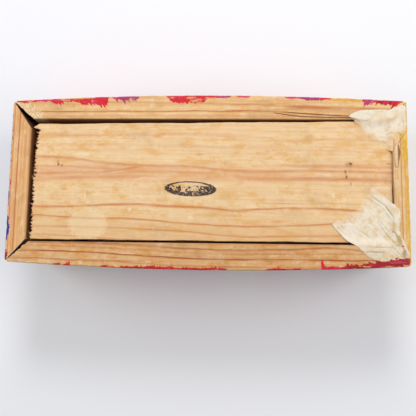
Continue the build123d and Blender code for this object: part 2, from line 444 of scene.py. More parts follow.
wallShape = dict(
    outerEdge=0.42, innerEdge=0.3, lowerEdge=0.5, cornerRound=1.7, crackWidth=0.2,
    spacing=0.5, endSpacing=0.18, endStretch=3.0,
    edgeWobble=0.35, wobbleLength=21, dent=0.5, dentLength=9, dentFrom=0.3, crackSway=0.06, crackPace=400,
    lapSwing=0.3, lapLength=3.1, lapShare=0.22, lapShort=1.3,
    relief=0.05, reliefScale=0.22, ribs=0.03, ribScale=1.9,
    tearHeight=9, tearReach=2.2, easeReach=12,
)
lipThickness = 2.4
grooveRoom = 0.3
lidGroove = (lipThickness, rightLow[2], lidHigh[1] - plan["innerNorth"] + grooveRoom)
# how far inside the paint a part of a wall lies, in millimetres
paintReach = dict(outer=3.0, low=0.8, bare=-4.0, overEdge=0.5, perDrop=1.4)

# colours that paint laps can have
paintColours = dict(
    red=rgb(222, 38, 50), deepRed=rgb(172, 22, 36), pink=rgb(222, 62, 104), purple=rgb(176, 54, 112),
    yellow=rgb(232, 182, 62), blue=rgb(44, 52, 146), orangeRed=rgb(204, 34, 22), ochre=rgb(222, 172, 96),
)


# Points of a quarter round between two points.
def arcPoints(start, end, centre, count):
    turn = np.linspace(0, math.pi / 2, count)
    first = np.array(start) - centre
    last = np.array(end) - centre
    return [np.array(centre) + first * math.cos(a) + last * math.sin(a) for a in turn]


# One closed section of a wall as (distance from the inner face, height), with a part name for each point.
def sectionPoints(thick, low, high, radii, topRow, groove):
    outerR, innerR, lowR = radii
    outerX, outerZ, innerZ, lowZ = thick - outerR, high - outerR, high - innerR, low + lowR
    lowX = thick - lowR
    base = groove[1] if groove else lowZ
    rows = [("outerArc", arcPoints((thick, outerZ), (outerX, high), (outerX, outerZ), 6))]
    rows += [("crack" if drop else "top", [(d, high - drop)]) for d, drop in topRow]
    rows.append(("innerArc", arcPoints((innerR, high), (0, innerZ), (innerR, innerZ), 4)))
    rows.append(("inner", [(0, z) for z in innerZ - (innerZ - base) * np.linspace(0, 1, 12)[1:-1] ** 1.5]))
    if groove:
        bottom, top, depth = groove
        rows.append(("groove", [(0, top), (depth, top), (depth, bottom), (0, bottom)]))
    rows.append(("lowArc", arcPoints((0, lowZ), (lowR, low), (lowR, lowZ), 3)))
    rows.append(("under", [(d, low) for d in np.linspace(lowR, lowX, 10)[1:-1]]))
    rows.append(("lowArc", arcPoints((lowX, low), (thick, lowZ), (lowX, lowZ), 3)))
    rows.append(("outer", [(thick, z) for z in np.linspace(lowZ, outerZ, 30)[1:-1]]))
    return [(point, part) for part, points in rows for point in points]


# Where the top face's points lie across the wall, with a dip along each crack.
def topRowAt(share, thick, radii, cracks, count=27):
    outerR, innerR, _ = radii
    row = list(np.linspace(thick - outerR, innerR, count)[1:-1])
    marks = []
    for crack in cracks:
        along = (share - crack["start"]) / (crack["end"] - crack["start"])
        inside = 0 < along < 1
        way = np.interp(along, [0, 0.35, 1], [crack["first"], crack["middle"], crack["last"]])
        depth = crack["depth"] * math.sin(math.pi * min(max(along, 0), 1)) ** 0.5 if inside else 0.0
        marks.append((way + wallShape["crackSway"] * math.sin(share * wallShape["crackPace"]), depth))
    if not marks:
        return [(d, 0.0) for d in row]
    wide = wallShape["crackWidth"]
    edges = [thick - outerR]
    dips = []
    for way, depth in sorted(marks, reverse=True):
        edges += [way + wide, way - wide]
        dips.append((way, depth))
    edges.append(innerR)
    spans = [(edges[i], edges[i + 1]) for i in range(0, len(edges), 2)]
    each = count // len(spans)
    result = []
    for number, (start, end) in enumerate(spans):
        last = number == len(spans) - 1
        stretchRow = np.linspace(start, end, each)
        stretchRow = stretchRow[1:] if number == 0 else stretchRow
        stretchRow = stretchRow[:-1] if last else stretchRow
        result += [(d, 0.0) for d in stretchRow]
        if not last:
            result.append(dips[number])
    return result


# How far paint laps over the rim there, in millimetres, and its colour.
def lapAt(laps, share):
    reach, colour = laps["bare"], laps["ground"]
    for start, end, far, name in laps["spans"]:
        inside = min((share - start), (end - share)) / min(0.018, 0.45 * (end - start))
        if inside > 0:
            lap = far * min(1.0, inside) ** 0.5
            if lap > reach:
                reach, colour = lap, name
    return reach, paintColours[colour]


# A wall lofted from section to section between its two mitres.
def makeWall(name, spec, material):
    shape, seed = wallShape, spec["seed"]
    start, end = np.array(spec["innerStart"]), np.array(spec["innerEnd"])
    outerStart, outerEnd = np.array(spec["outerStart"]), np.array(spec["outerEnd"])
    length = np.linalg.norm(outerEnd - outerStart)
    along = (outerEnd - outerStart) / length
    outward = np.array([along[1], -along[0]])
    if np.dot(outward, outerStart - start) < 0:
        outward = -outward
    stock = np.dot(outerStart - start, outward)
    dense = np.arange(0, shape["endStretch"], shape["endSpacing"])
    body = np.arange(shape["endStretch"], length - shape["endStretch"], shape["spacing"])
    places = np.concatenate([dense, body, length - dense[::-1]]) / length
    roundR = shape["cornerRound"]
    cut = roundR * (1 - math.sqrt(0.5))
    low, high = spec["low"], spec["high"]
    wobble = wander(places * length, shape["wobbleLength"], seed) * shape["edgeWobble"]
    dents = np.clip(wander(places * length, shape["dentLength"], seed + 5), shape["dentFrom"], 1)
    dents = (dents - shape["dentFrom"]) * shape["dent"]
    vertices, parts, reach, tints, runs, depths = [], [], [], [], [], []
    for number, share in enumerate(places):
        run = cut + share * (length - 2 * cut)
        near = min(run, length - run)
        inset = roundR - math.sqrt(max(roundR ** 2 - (roundR - near) ** 2, 0)) if near < roundR else 0.0
        crown = spec["crown"] * (1 - (2 * share - 1) ** 2)
        outer = outerStart + along * run + outward * (crown - inset)
        inner = start + (end - start) * share
        thick = stock + crown - inset
        radii = (shape["outerEdge"] * (1 + wobble[number]) + dents[number],
                 shape["innerEdge"] * (1 + 0.8 * wobble[number]), shape["lowerEdge"])
        row = topRowAt(share, thick, radii, spec["cracks"])
        section = sectionPoints(thick, low, high, radii, row, spec["groove"])
        lap, tint = lapAt(spec["laps"], share)
        place = np.array([share * length])
        lap += shape["lapSwing"] * wander(place, shape["lapLength"], seed + 9)[0]
        lap += shape["lapShare"] * max(lap, 0) * wander(place, shape["lapShort"], seed + 10)[0]
        for (away, height), part in section:
            flat = inner + (outer - inner) * (away / thick)
            fromOuter = thick - away
            if part == "outer":
                inPaint = paintReach["outer"]
            elif part == "outerArc":
                inPaint = lap + paintReach["overEdge"] + (high - height) * paintReach["perDrop"]
            elif part in ("top", "crack"):
                inPaint = lap - fromOuter
            elif part == "lowArc" and fromOuter < thick / 2:
                inPaint = paintReach["low"]
            else:
                inPaint = paintReach["bare"]
            vertices.append((flat[0], flat[1], height))
            parts.append(part)
            runs.append(run)
            depths.append(fromOuter)
            reach.append(inPaint)
            tints.append(tint)
    points, parts, runs = np.array(vertices), np.array(parts), np.array(runs)
    # the torn mitre ends: wood broken away along the upper edge, less lower down
    fade = np.clip((points[:, 2] - (high - shape["tearHeight"])) / shape["tearHeight"], 0, 1) ** 0.7
    bite = 0.5 + 0.5 * lumps(points * np.array([1, 1, 0.3]), 1.3, seed)
    fine = 0.5 + 0.5 * lumps(points * np.array([1, 1, 0.4]), 3.7, seed + 3)
    inwards = np.clip(np.array(depths) / stock, 0, 1)
    for isStart, amount in ((True, spec["raggedStart"]), (False, spec["raggedEnd"])):
        fromEnd = runs - runs.min() if isStart else runs.max() - runs
        tear = (0.25 + 1.1 * bite ** 1.5 + 0.5 * fine ** 2) * fade * (0.05 + 1.1 * inwards ** 0.7)
        push = amount * tear * np.clip(1 - fromEnd / shape["tearReach"], 0, 1)
        if not isStart:
            eased = np.clip(1 - fromEnd / shape["easeReach"], 0, 1)
            push += spec["easedEnd"] * inwards * fade ** 0.5 * eased
        points[:, :2] += np.outer(push, along if isStart else -along)
    # slow relief of the planed faces, never outwards
    relief = shape["relief"] * (0.5 + 0.5 * lumps(points, shape["reliefScale"], seed + 7))
    top = (parts == "top") | (parts == "innerArc")
    points[top, 2] -= relief[top]
    stretchAlong = points * (np.array([0.15, 1, 1]) if abs(along[0]) > 0.5 else np.array([1, 0.15, 1]))
    ribs = shape["ribs"] * (0.5 + 0.5 * lumps(stretchAlong, shape["ribScale"], seed + 8))
    points[top, 2] -= ribs[top]
    outerFace = (parts == "outer") | (parts == "outerArc")
    points[outerFace, :2] -= np.outer((relief + ribs)[outerFace], outward)
    ids = np.arange(len(points)).reshape(len(places), -1)
    nextOne = np.roll(ids, -1, axis=1)
    faces = np.stack([ids[:-1], nextOne[:-1], nextOne[1:], ids[1:]], axis=-1).reshape(-1, 4).tolist()
    faces += [ids[0][::-1].tolist(), ids[-1].tolist()]
    piece = newPiece(name, points, faces, material, "box", [spec["node"]])
    triangulateCaps(piece)
    # painted shade: the inner faces, the groove and the cracks are marked to turn dark brown, the inner
    # rounding a little
    inside = np.isin(parts, ["inner", "groove"]) * 1.0
    inside[parts == "innerArc"] = 0.35
    inside[parts == "crack"] = 1.25
    capped = np.zeros(len(points))
    capped[ids[[0, -1]]] = 1
    fray = np.clip(1 - (runs - runs.min()) / spec["frayed"], 0, 1) * (parts != "outer")
    pointValues(piece, "inside", inside)
    pointValues(piece, "endGrain", capped)
    pointValues(piece, "reach", reach)
    pointValues(piece, "fray", fray)
    pointColours(piece, "tint", tints)


def triangulateCaps(piece):
    shape = bmesh.new()
    shape.from_mesh(piece.data)
    bmesh.ops.triangulate(shape, faces=[f for f in shape.faces if len(f.verts) > 4])
    shape.to_mesh(piece.data)
    shape.free()


# the inside tone is aged wood with painted shade of the box's inside and its cracks
wallTones = dict(
    inside=rgb(126, 70, 36), frayDark=rgb(214, 176, 118), frayPale=rgb(248, 230, 196),
    endGrain=rgb(66, 40, 24), darkerLow=rgb(70, 50, 44),
)


# Softwood with its own late-wood lines, darker inside and in its cracks from aged wood and painted shade, and
# worn paint outside.
def wallMaterial(name, look):
    material, tree, shader = newMaterial(name)
    place = millimetres(tree)
    if look["turned"]:
        place = mapping(tree, place, turn=math.pi / 2)
    parts = axes(tree, place)
    depth = times(tree, minus(tree, plan["top"], parts[2]), look["dip"])
    if look["turned"]:
        slow = drawnCloud(tree, place, (0.016, 0.02, 0.02), 2.0, shift=look["shift"])
        across = plus(tree, plus(tree, parts[1], swing(tree, slow, look["wave"])), depth)
        rings = ringLines(tree, across, look["lines"], look["low"], look["high"])
    else:
        rings = drawnLines(tree, movedAcross(tree, parts, depth), look["lines"])
    wood = useGroup(tree, softwood, {"Vector": place, "Rings": rings, **woodValues(look)})
    dirty = useGroup(tree, grime, {"Vector": place, "Color": wood["Color"], "Grime": look["grime"],
                                   "Scratches": 0.12})
    # painted shade inside the box and in the cracks, over darker aged wood
    colour = overlay(tree, dirty["Color"], attribute(tree, "inside"), 0.85, wallTones["inside"])
    frayed = plus(tree, attribute(tree, "fray"), minus(tree, cloud(tree, place, 0.8, 4.0, 0.6), 0.55))
    frayMix = between(tree, cloud(tree, place, 1.3, 3.0, 0.6), 0.42, 0.6)
    frayTone = mixColour(tree, frayMix, wallTones["frayDark"], wallTones["frayPale"])
    colour = overlay(tree, colour, between(tree, frayed, 0.1, 0.4), 0.7, frayTone)
    colour = overlay(tree, colour, attribute(tree, "endGrain"), 0.85, wallTones["endGrain"])
    paint = useGroup(tree, brushedPaint, {"Vector": place, "Reach": attribute(tree, "reach"),
                                          "Tint": attribute(tree, "tint", "Color"), "Under": look["under"],
                                          "Ragged": look["ragged"]})
    colour = mixColour(tree, paint["Mask"], colour, paint["Color"])
    # the walls turn darker towards the bottom
    colour = overlay(tree, colour, between(tree, parts[2], 39.0, 12.0), 0.4, wallTones["darkerLow"])
    rough = minus(tree, wood["Rough"], times(tree, paint["Mask"], 0.14))
    finishWood(tree, shader, colour, plus(tree, wood["Height"], paint["Height"]), rough)
    return material


plainLook = dict(
    turned=False, wave=0.7, dip=0.25, mottling=0.5, streaks=0.3, foxing=0.6, grime=0.3, ragged=0.42,
    pale=rgb(242, 200, 142), late=rgb(186, 100, 46), honey=rgb(222, 156, 70), under=rgb(226, 186, 110),
)
# laps are (from, to, reach in millimetres, colour), with from and to as shares of the wall's length

northWall = dict(
    node="long_wall_north", low=0.0, high=plan["top"], crown=plan["crown"], seed=11,
    outerStart=(plan["left"], plan["north"]), outerEnd=(plan["right"], plan["north"]),
    innerStart=(plan["innerLeft"], plan["innerNorth"]), innerEnd=(plan["innerRight"], plan["innerNorth"]),
    groove=lidGroove, raggedStart=0.8, raggedEnd=0.2, easedEnd=0.0, frayed=8.5,
    cracks=[dict(start=0.675, end=0.90, first=2.6, middle=1.1, last=0.55, depth=0.9),
            dict(start=0.70, end=0.90, first=3.0, middle=2.3, last=1.2, depth=0.5)],
    laps=dict(ground="ochre", bare=-1.0, spans=[
        (0.004, 0.06, 1.4, "red"), (0.058, 0.09, 1.3, "pink"), (0.085, 0.13, 2.6, "red"),
        (0.1, 0.24, 1.6, "red"), (0.128, 0.155, 1.2, "red"), (0.15, 0.235, 3.1, "red"),
        (0.195, 0.244, 4.2, "red"), (0.19, 0.215, 3.3, "pink"), (0.262, 0.325, 1.9, "purple"),
        (0.395, 0.505, 3.3, "red"), (0.49, 0.53, 2.0, "red"), (0.515, 0.56, 1.4, "purple"),
        (0.575, 0.61, 0.7, "pink"), (0.70, 0.74, 0.9, "pink"), (0.735, 0.80, 1.5, "purple"),
        (0.775, 0.815, 1.4, "red"), (0.81, 0.90, 1.3, "yellow"), (0.895, 0.93, 2.4, "purple"),
        (0.925, 0.995, 1.7, "deepRed"), (0.966, 0.992, 3.0, "red"), (0.931, 0.936, 3.4, "red"),
        (0.949, 0.954, 3.0, "red"), (0.958, 0.962, 3.6, "pink"), (0.256, 0.27, 2.6, "pink"),
        (0.277, 0.284, 4.2, "purple"), (0.292, 0.297, 3.0, "purple"), (0.31, 0.316, 2.6, "purple"),
        (0.902, 0.908, 3.8, "pink"), (0.918, 0.923, 3.2, "pink"), (0.94, 0.944, 2.8, "deepRed"),
        (0.974, 0.982, 4.0, "deepRed")]),
    look=dict(plainLook, lines=[
        dict(course=[(-72, 28.4), (-43, 28.4), (-23, 28.6), (5, 28.7), (24, 28.8), (38, 27.7), (57, 26.4)],
             width=0.8, depth=0.55),
        dict(course=[(-23, 28.7), (5, 28.8), (22, 28.9), (28, 28.7)], width=0.6, depth=0.95, edge=0.4,
             stop=30),
        dict(course=[(-72, 32.9), (-23, 32.5), (-3, 32.1), (10, 31.7), (24, 31.4), (38, 30.6), (61, 29.7)],
             width=1.0, depth=0.4),
        dict(course=[(20, 31.2), (38, 30.6), (50, 30.1), (61, 29.7)], width=2.0, depth=0.75, start=30),
        dict(course=[(-72, 26.4), (0, 26.9), (30, 26.8)], width=0.9, depth=0.25)]),
)
southWall = dict(
    node="long_wall_south", low=0.0, high=plan["top"], crown=plan["crown"], seed=23,
    outerStart=(plan["left"], plan["south"]), outerEnd=(plan["right"], plan["south"]),
    innerStart=(plan["innerLeft"], plan["innerSouth"]), innerEnd=(plan["innerRight"], plan["innerSouth"]),
    groove=lidGroove, raggedStart=1.3, raggedEnd=0.2, easedEnd=0.0, frayed=0.5, cracks=[],
    laps=dict(ground="ochre", bare=-0.9, spans=[
        (0.12, 0.14, 0.5, "orangeRed"), (0.145, 0.165, 1.3, "orangeRed"), (0.24, 0.31, 0.7, "orangeRed"),
        (0.31, 0.36, 1.0, "orangeRed"), (0.34, 0.44, 1.3, "orangeRed"), (0.43, 0.49, 1.0, "orangeRed"),
        (0.48, 0.555, 1.3, "orangeRed"), (0.56, 0.65, 0.5, "ochre"), (0.65, 0.735, 0.9, "orangeRed"),
        (0.67, 0.70, 1.5, "orangeRed"), (0.785, 0.80, 3.4, "red"), (0.79, 0.84, 1.5, "red"),
        (0.835, 0.885, 2.0, "deepRed"), (0.88, 0.93, 2.4, "deepRed"), (0.915, 0.985, 3.6, "deepRed"),
        (0.787, 0.795, 4.4, "red"), (0.936, 0.942, 5.2, "deepRed"), (0.953, 0.958, 5.0, "deepRed"),
        (0.151, 0.157, 2.0, "orangeRed"), (0.365, 0.372, 2.0, "orangeRed"), (0.411, 0.42, 2.2, "orangeRed")]),
    look=dict(plainLook, dip=-0.25, ragged=0.75, mottling=0.8, grime=0.55, foxing=0.9,
              pale=rgb(228, 180, 122), late=rgb(164, 74, 30), honey=rgb(212, 144, 66), lines=[
        dict(course=[(-72, -25.1), (-42, -25.3), (-22, -26.1), (-6, -27.1), (33, -26.9), (49, -26.1),
                     (60, -27)], width=0.9, depth=0.6),
        dict(course=[(-72, -28.5), (-50, -28.7), (-22, -30.1), (-2, -30.8), (33, -30.8), (66, -30.9)],
             width=0.75, depth=0.9, edge=0.5),
        dict(course=[(-77, -31.2), (-55, -31.8), (-35, -32.3), (-21, -33.3), (-2, -33.8), (40, -33.9)],
             width=0.8, depth=0.5),
        dict(course=[(-30, -27.5), (-22, -27.8), (-2, -28.9), (20, -28.9)], width=0.7, depth=0.35)]),
)
leftWall = dict(
    node="end_wall_left", low=0.0, high=plan["top"], crown=0.0, seed=37,
    outerStart=(plan["left"], plan["south"]), outerEnd=(plan["left"], plan["north"]),
    innerStart=(plan["innerLeft"], plan["innerSouth"] + 0.8),
    innerEnd=(plan["innerLeft"], plan["innerNorth"] - 0.9),
    groove=lidGroove, raggedStart=0.12, raggedEnd=0.12, easedEnd=3.0, frayed=0.5, cracks=[],
    laps=dict(ground="blue", bare=-0.6, spans=[
        (0.0, 0.055, 1.3, "deepRed"), (0.115, 0.27, 0.9, "blue"), (0.15, 0.22, 1.5, "blue"),
        (0.36, 0.43, 0.1, "blue"), (0.465, 0.505, 0.7, "pink")]),
    look=dict(plainLook, turned=True, low=-95.0, high=-60.0, shift=(1, 4, 0), under=rgb(196, 170, 140),
              pale=rgb(236, 188, 130), late=rgb(186, 84, 30), honey=rgb(222, 154, 68),
              lines=[(-78.9, 0.5, 0.75), (-76.7, 0.55, 1.0), (-75.3, 0.4, 0.35), (-85.0, 1.0, 0.6)]),
)
rightWall = dict(
    node="end_wall_right", low=rightLow[2], high=plan["top"], crown=0.0, seed=41,
    outerStart=(plan["right"], plan["south"]), outerEnd=(plan["right"], plan["north"]),
    innerStart=(plan["innerRight"], plan["innerSouth"]), innerEnd=(plan["innerRight"], plan["innerNorth"]),
    groove=None, raggedStart=0.1, raggedEnd=0.1, easedEnd=0.0, frayed=0.5,
    cracks=[dict(start=0.78, end=0.83, first=2.2, middle=3.4, last=5.6, depth=0.4)],
    laps=dict(ground="yellow", bare=1.0, spans=[
        (0.0, 0.30, 1.7, "yellow"), (0.30, 0.62, 1.3, "yellow"), (0.62, 0.97, 2.4, "yellow"),
        (0.03, 0.12, 1.4, "deepRed"), (0.47, 0.53, 0.9, "red")]),
    look=dict(plainLook, turned=True, low=60.0, high=95.0, shift=(5, 9, 0), under=rgb(236, 200, 120),
              pale=rgb(238, 200, 146), late=rgb(178, 96, 46), honey=rgb(232, 178, 80), mottling=0.8,
              foxing=0.8, ragged=0.75,
              lines=[(74.9, 0.4, 0.3), (77.2, 0.5, 0.8), (78.6, 0.5, 0.35), (84.0, 1.0, 0.6)]),
)

for spec in (northWall, southWall, leftWall, rightWall):
    name = spec["node"] + "_wood"
    makeWall(name, spec, wallMaterial(name, spec["look"]))
print("walls made")


# the bottom panel with its torn end

panelSpec = dict(
    northTaper=1.5, closedEnd=0.3, edge=0.4, cup=0.12, relief=0.07, ribs=0.035, columns=300, rows=190,
    endRoom=0.25, endSlant=1.5, slantFrom=0.55, toothPitch=1.5, toothDepth=1.25, fineDepth=0.16, undercut=1.4,
    notches=[(20.6, 0.9, 0.45), (3.0, 0.5, 0.5)],  # place across the panel, depth, half width
    spikeAt=22.3, spikeHalf=1.15, spikeLength=2.4, sideLevels=[0.25, 0.6, 1.1, 1.8, 3.2],
)


# Where the torn end lies at a place across the panel. level is 0 at the top edge and 1 well below it.
def panelEnd(y, level):
    spec = panelSpec
    share = (y - panelLow[1]) / (panelHigh[1] - panelLow[1])
    lean = np.clip((share - spec["slantFrom"]) / (1 - spec["slantFrom"]), 0, 1) ** 1.5
    line = panelLow[0] + spec["endRoom"] + spec["endSlant"] * lean
    saw = np.abs(((y + 0.5 * wander(y, 6.0, 3)) / spec["toothPitch"]) % 1.0 - 0.5) * 2
    broken = spec["toothDepth"] * saw ** 1.3 * (0.8 + 0.5 * wander(y, 11.0, 5))
    fine = spec["fineDepth"] * wander(y, 0.8, 8, 4)
    notch = sum(depth * np.exp(-((y - place) / half) ** 2) for place, depth, half in spec["notches"])
    spike = spec["spikeLength"] * np.clip(1 - np.abs(y - spec["spikeAt"]) / spec["spikeHalf"], 0, 1)
    upper = line + broken + fine + notch - spike
    lower = line + spec["undercut"] + 0.12 * wander(y, 3.0, 12)
    return upper * (1 - level) + lower * level


# Smooth noise from 0 to 1 over points laid flat, after drawing them out by the given factors.
def flatLumps(xs, ys, factors, scale, seed):
    flat = np.stack([xs.ravel(), ys.ravel(), np.zeros(xs.size)], axis=1) * np.array(factors)
    return (0.5 + 0.5 * lumps(flat, scale, seed)).reshape(xs.shape)


def makePanel(material):
    spec = panelSpec
    low, high = panelLow, panelHigh
    steps = np.linspace(0, 1, spec["columns"])
    steps = 0.55 * steps ** 2.2 + 0.45 * steps
    rows = np.linspace(0, 1, spec["rows"])
    edgeSteps = np.array([0.0, 0.12, 0.3]) / (high[1] - low[1])
    rows = np.concatenate([edgeSteps, rows[1:-1], 1 - edgeSteps[::-1]])
    xs = np.zeros((len(rows), len(steps)))
    ys = np.zeros_like(xs)
    for number, row in enumerate(rows):
        yRight = low[1] + row * (high[1] - low[1])
        yLeft = low[1] + row * (high[1] - spec["northTaper"] - low[1])
        y = yLeft + (yRight - yLeft) * steps
        closed = spec["closedEnd"] * min(max((yRight + 3) / 6, 0), 1)
        xs[number] = panelEnd(np.array([yLeft]), 0.0)[0] * (1 - steps) + (high[0] + closed) * steps
        ys[number] = y
    south = ys[0][None, :]
    north = ys[-1][None, :]
    southWave = 0.12 * (wander(xs[0], 37, 31)[None, :] - 1) - 0.2
    northWave = 0.14 * (1 + wander(xs[-1], 45, 33)[None, :])
    weight = (ys - south) / (north - south)
    ys = ys - southWave * (1 - weight) ** 6 - northWave * weight ** 6
    fromSide = np.minimum(ys - ys[0], ys[-1] - ys)
    fromEnd = xs[:, -1:] - xs
    fromTorn = xs - xs[:, :1]
    edgeR = spec["edge"]

    def rounding(distance):
        inside = np.clip(1 - distance / edgeR, 0, 1)
        return edgeR * (1 - np.sqrt(1 - inside ** 2)) * 0.6

    relief = spec["relief"] * flatLumps(xs, ys, (0.12, 1, 1), 0.55, 2.0)
    ribs = spec["ribs"] * flatLumps(xs, ys, (0.08, 1, 1), 2.3, 5.0)
    middle = (ys - (low[1] + high[1]) / 2) / (high[1] - low[1]) * 2
    cup = spec["cup"] * (1 - middle ** 2)
    frayed = 0.35 * np.clip(1 - fromTorn / 1.2, 0, 1) * flatLumps(xs, ys, (1, 1, 1), 2.1, 9.0)
    zs = high[2] - cup - relief - ribs - rounding(fromSide) - rounding(fromEnd) - frayed
    vertices = np.stack([xs.ravel(), ys.ravel(), zs.ravel()], axis=1)
    ids = np.arange(xs.size).reshape(xs.shape)
    quads = np.stack([ids[:-1, :-1], ids[:-1, 1:], ids[1:, 1:], ids[1:, :-1]], axis=-1)
    faces = quads.reshape(-1, 4).tolist()
    rim = np.concatenate([ids[0, :], ids[1:, -1], ids[-1, -2::-1], ids[-2:0:-1, 0]])
    torn = np.isin(rim, ids[:, 0])
    previous = rim
    bottom = high[2] - low[2]
    for level in [*spec["sideLevels"], bottom]:
        ring = vertices[rim].copy()
        ring[:, 2] = high[2] - level - (0.0 if level == bottom else 0.06)
        ring[torn, 0] = panelEnd(ring[torn, 1], min(1.0, level / 1.2))
        current = len(vertices) + np.arange(len(rim))
        vertices = np.concatenate([vertices, ring])
        sides = [previous, current, np.roll(current, -1), np.roll(previous, -1)]
        faces += np.stack(sides, axis=-1).tolist()
        previous = current
    faces.append(previous.tolist())
    piece = newPiece("bottom_panel_board", vertices, faces, material, "box", ["bottom_panel"],
                     smoothAngle=50)
    triangulateCaps(piece)
    tornShare = np.ones(len(vertices))
    tornShare[:xs.size] = np.clip(1 - fromTorn.ravel() / 0.9, 0, 1) * 0.6
    pointValues(piece, "torn", tornShare)
    pointValues(piece, "side", np.arange(len(vertices)) >= xs.size)


panelLook = dict(
    pale=rgb(243, 209, 160), late=rgb(206, 120, 62), honey=rgb(232, 172, 84), rose=rgb(222, 150, 104),
    deep=rgb(216, 158, 94), mottling=0.55, streaks=0.14, foxing=0.7, slope=0.03, roseAt=3.6, roseHalf=4.2,
    tornDark=rgb(206, 124, 66), tornPale=rgb(248, 210, 156), side=rgb(150, 92, 50),
    lines=[
        dict(course=[(-70, -10.5), (-53, -10.5), (-37, -9.5), (-14, -10.0), (4, -11.0), (10, -11.8),
                     (20, -11.2), (38, -10.5), (72, -12.2)], width=1.0, depth=0.85),
        dict(course=[(-70, -14.1), (-52, -15.0), (-32, -15.2), (-6, -17.1), (12, -17.9), (34, -17.6),
                     (60, -15.6)], width=0.8, depth=0.85),
        dict(course=[(-70, -18.7), (-32, -19.1), (-6, -20.4), (10, -21.8), (34, -21.6), (60, -21.0)],
             width=0.75, depth=0.75),
        dict(course=[(-70, -21.7), (-52, -22.4), (-32, -23.5)], width=0.7, depth=0.5, stop=-30),
        dict(course=[(-70, 9.9), (-53, 9.1), (-43, 7.6), (-23, 6.4), (-6, 6.1), (14, 4.2), (45, 4.5),
                     (73, 4.0)], width=1.2, depth=0.6),
        dict(course=[(-70, 2.8), (-53, 3.4), (-43, 3.6), (-27, 6.0)], width=1.1, depth=0.62, stop=-24),
        dict(course=[(-70, 0.3), (-53, 1.2), (-27, 1.9)], width=1.3, depth=0.62, stop=-22),
        dict(course=[(-70, 5.9), (-50, 5.6), (-30, 4.3), (-14, 3.6)], width=0.9, depth=0.4, stop=-16),
        dict(course=[(-40, 2.9), (-20, 3.9), (4, 3.4)], width=1.0, depth=0.42, start=-38, stop=0),
        dict(course=[(10, 2.2), (34, 1.1), (45, 1.5), (73, 0.6)], width=1.5, depth=0.62, start=14),
        dict(course=[(22, 6.9), (46, 6.6), (73, 6.2)], width=1.3, depth=0.45, start=30),
        dict(course=[(-30, 19.2), (10, 19.0), (34, 17.4), (56, 17.4), (73, 16.8)], width=1.4, depth=0.22),
        dict(course=[(18, -8.9), (34, -8.5), (60, -8.6)], width=0.6, depth=0.35, start=22),
        dict(course=[(-70, 14.9), (-23, 14.8), (10, 14.0)], width=1.2, depth=0.16)],
)
inkMark = dict(
    place=(-6.2, -3.1), half=(10.7, 3.15), tilt=0.026, ink=rgb(52, 38, 44),
    ring=(0.80, 0.87), blots=(0.50, 0.55), lowBlots=0.2, endBlots=0.2,
)
# marks are (place, half size), and the ink spots have a strength too
panelMarks = dict(
    inkSpots=[((57.5, 7.4), (1.2, 1.0), 0.85), ((56.7, 7.2), (2.2, 1.6), 0.3),
              ((55.4, 4.1), (0.7, 1.0), 0.7), ((55.8, 2.2), (0.6, 1.2), 0.75),
              ((57.5, -0.6), (0.5, 1.2), 0.45), ((57.2, 4.6), (0.6, 0.6), 0.3)],
    paleStain=((-47.2, -17.4), (8.4, 7.0)), stainTone=rgb(250, 224, 182),
    paleRing=((-24.0, -3.6), (7.0, 5.6)), ringTone=rgb(252, 230, 192),
    groups=[
        dict(tone=rgb(150, 90, 40), strength=0.8, softness=0.5, spots=[  # scratches
            ((72.6, 7.6), (1.5, 0.2)), ((-60.5, 7.1), (0.3, 1.7)), ((-60.2, 6.6), (0.6, 0.5)),
            ((-58.8, 6.2), (0.35, 0.8))]),
        dict(tone=rgb(252, 232, 198), strength=0.6, softness=0.9, spots=[  # pale scratches
            ((-48.8, -6.6), (0.5, 2.2)), ((-47.6, -8.7), (1.0, 0.4)), ((50.6, -5.4), (1.1, 1.6)),
            ((-6.1, -14.5), (1.3, 0.7)), ((-30.5, -11.6), (1.4, 1.2))]),
        dict(tone=rgb(226, 140, 48), strength=0.5, softness=0.8, spots=[  # orange blots
            ((28.7, -15.9), (3.6, 0.8)), ((-57.5, -3.6), (1.6, 0.6)), ((-3.0, 11.0), (2.6, 0.7)),
            ((-20.0, 18.4), (3.0, 0.8))]),
        dict(tone=rgb(242, 206, 30), strength=0.9, softness=0.6, spots=[((37.8, 18.9), (0.7, 0.6))])],
)


# A smudged oval ink mark without letters: a ring, blots at both ends and broken strokes between.
def inkMask(tree, place):
    x, y = inkMark["place"]
    turned = mapping(tree, mapping(tree, place, shift=(-x, -y, 0)), turn=inkMark["tilt"])
    parts = axes(tree, turned)
    sx = calc(tree, "DIVIDE", parts[0], inkMark["half"][0])
    sy = calc(tree, "DIVIDE", parts[1], inkMark["half"][1])
    shape = calc(tree, "SQRT", plus(tree, times(tree, sx, sx), times(tree, sy, sy)))
    shape = plus(tree, shape, swing(tree, cloud(tree, place, 0.9, 3.0, 0.6), 0.16))
    inside = between(tree, shape, 1.0, 0.95)
    ring = times(tree, inside, between(tree, shape, *inkMark["ring"]))
    low = between(tree, sy, -0.15, -0.62)
    wide = between(tree, calc(tree, "ABSOLUTE", sx), 0.58, 0.86)
    strokes = drawnCloud(tree, turned, (0.5, 0.42, 1), 1.5, 0.5, 2.2, (3.3, 1.7, 0))
    ends = plus(tree, times(tree, low, inkMark["lowBlots"]), times(tree, wide, inkMark["endBlots"]))
    filled = times(tree, inside, between(tree, plus(tree, strokes, ends), *inkMark["blots"]))
    topGap = times(tree, between(tree, sy, 0.3, 0.5), between(tree, shape, 0.84, 0.8))
    filled = times(tree, filled, minus(tree, 1.0, topGap))
    dry = between(tree, cloud(tree, place, 1.6, 4.0, 0.7), 0.33, 0.5, 0.55, 0.97)
    return times(tree, calc(tree, "MAXIMUM", ring, filled), dry)


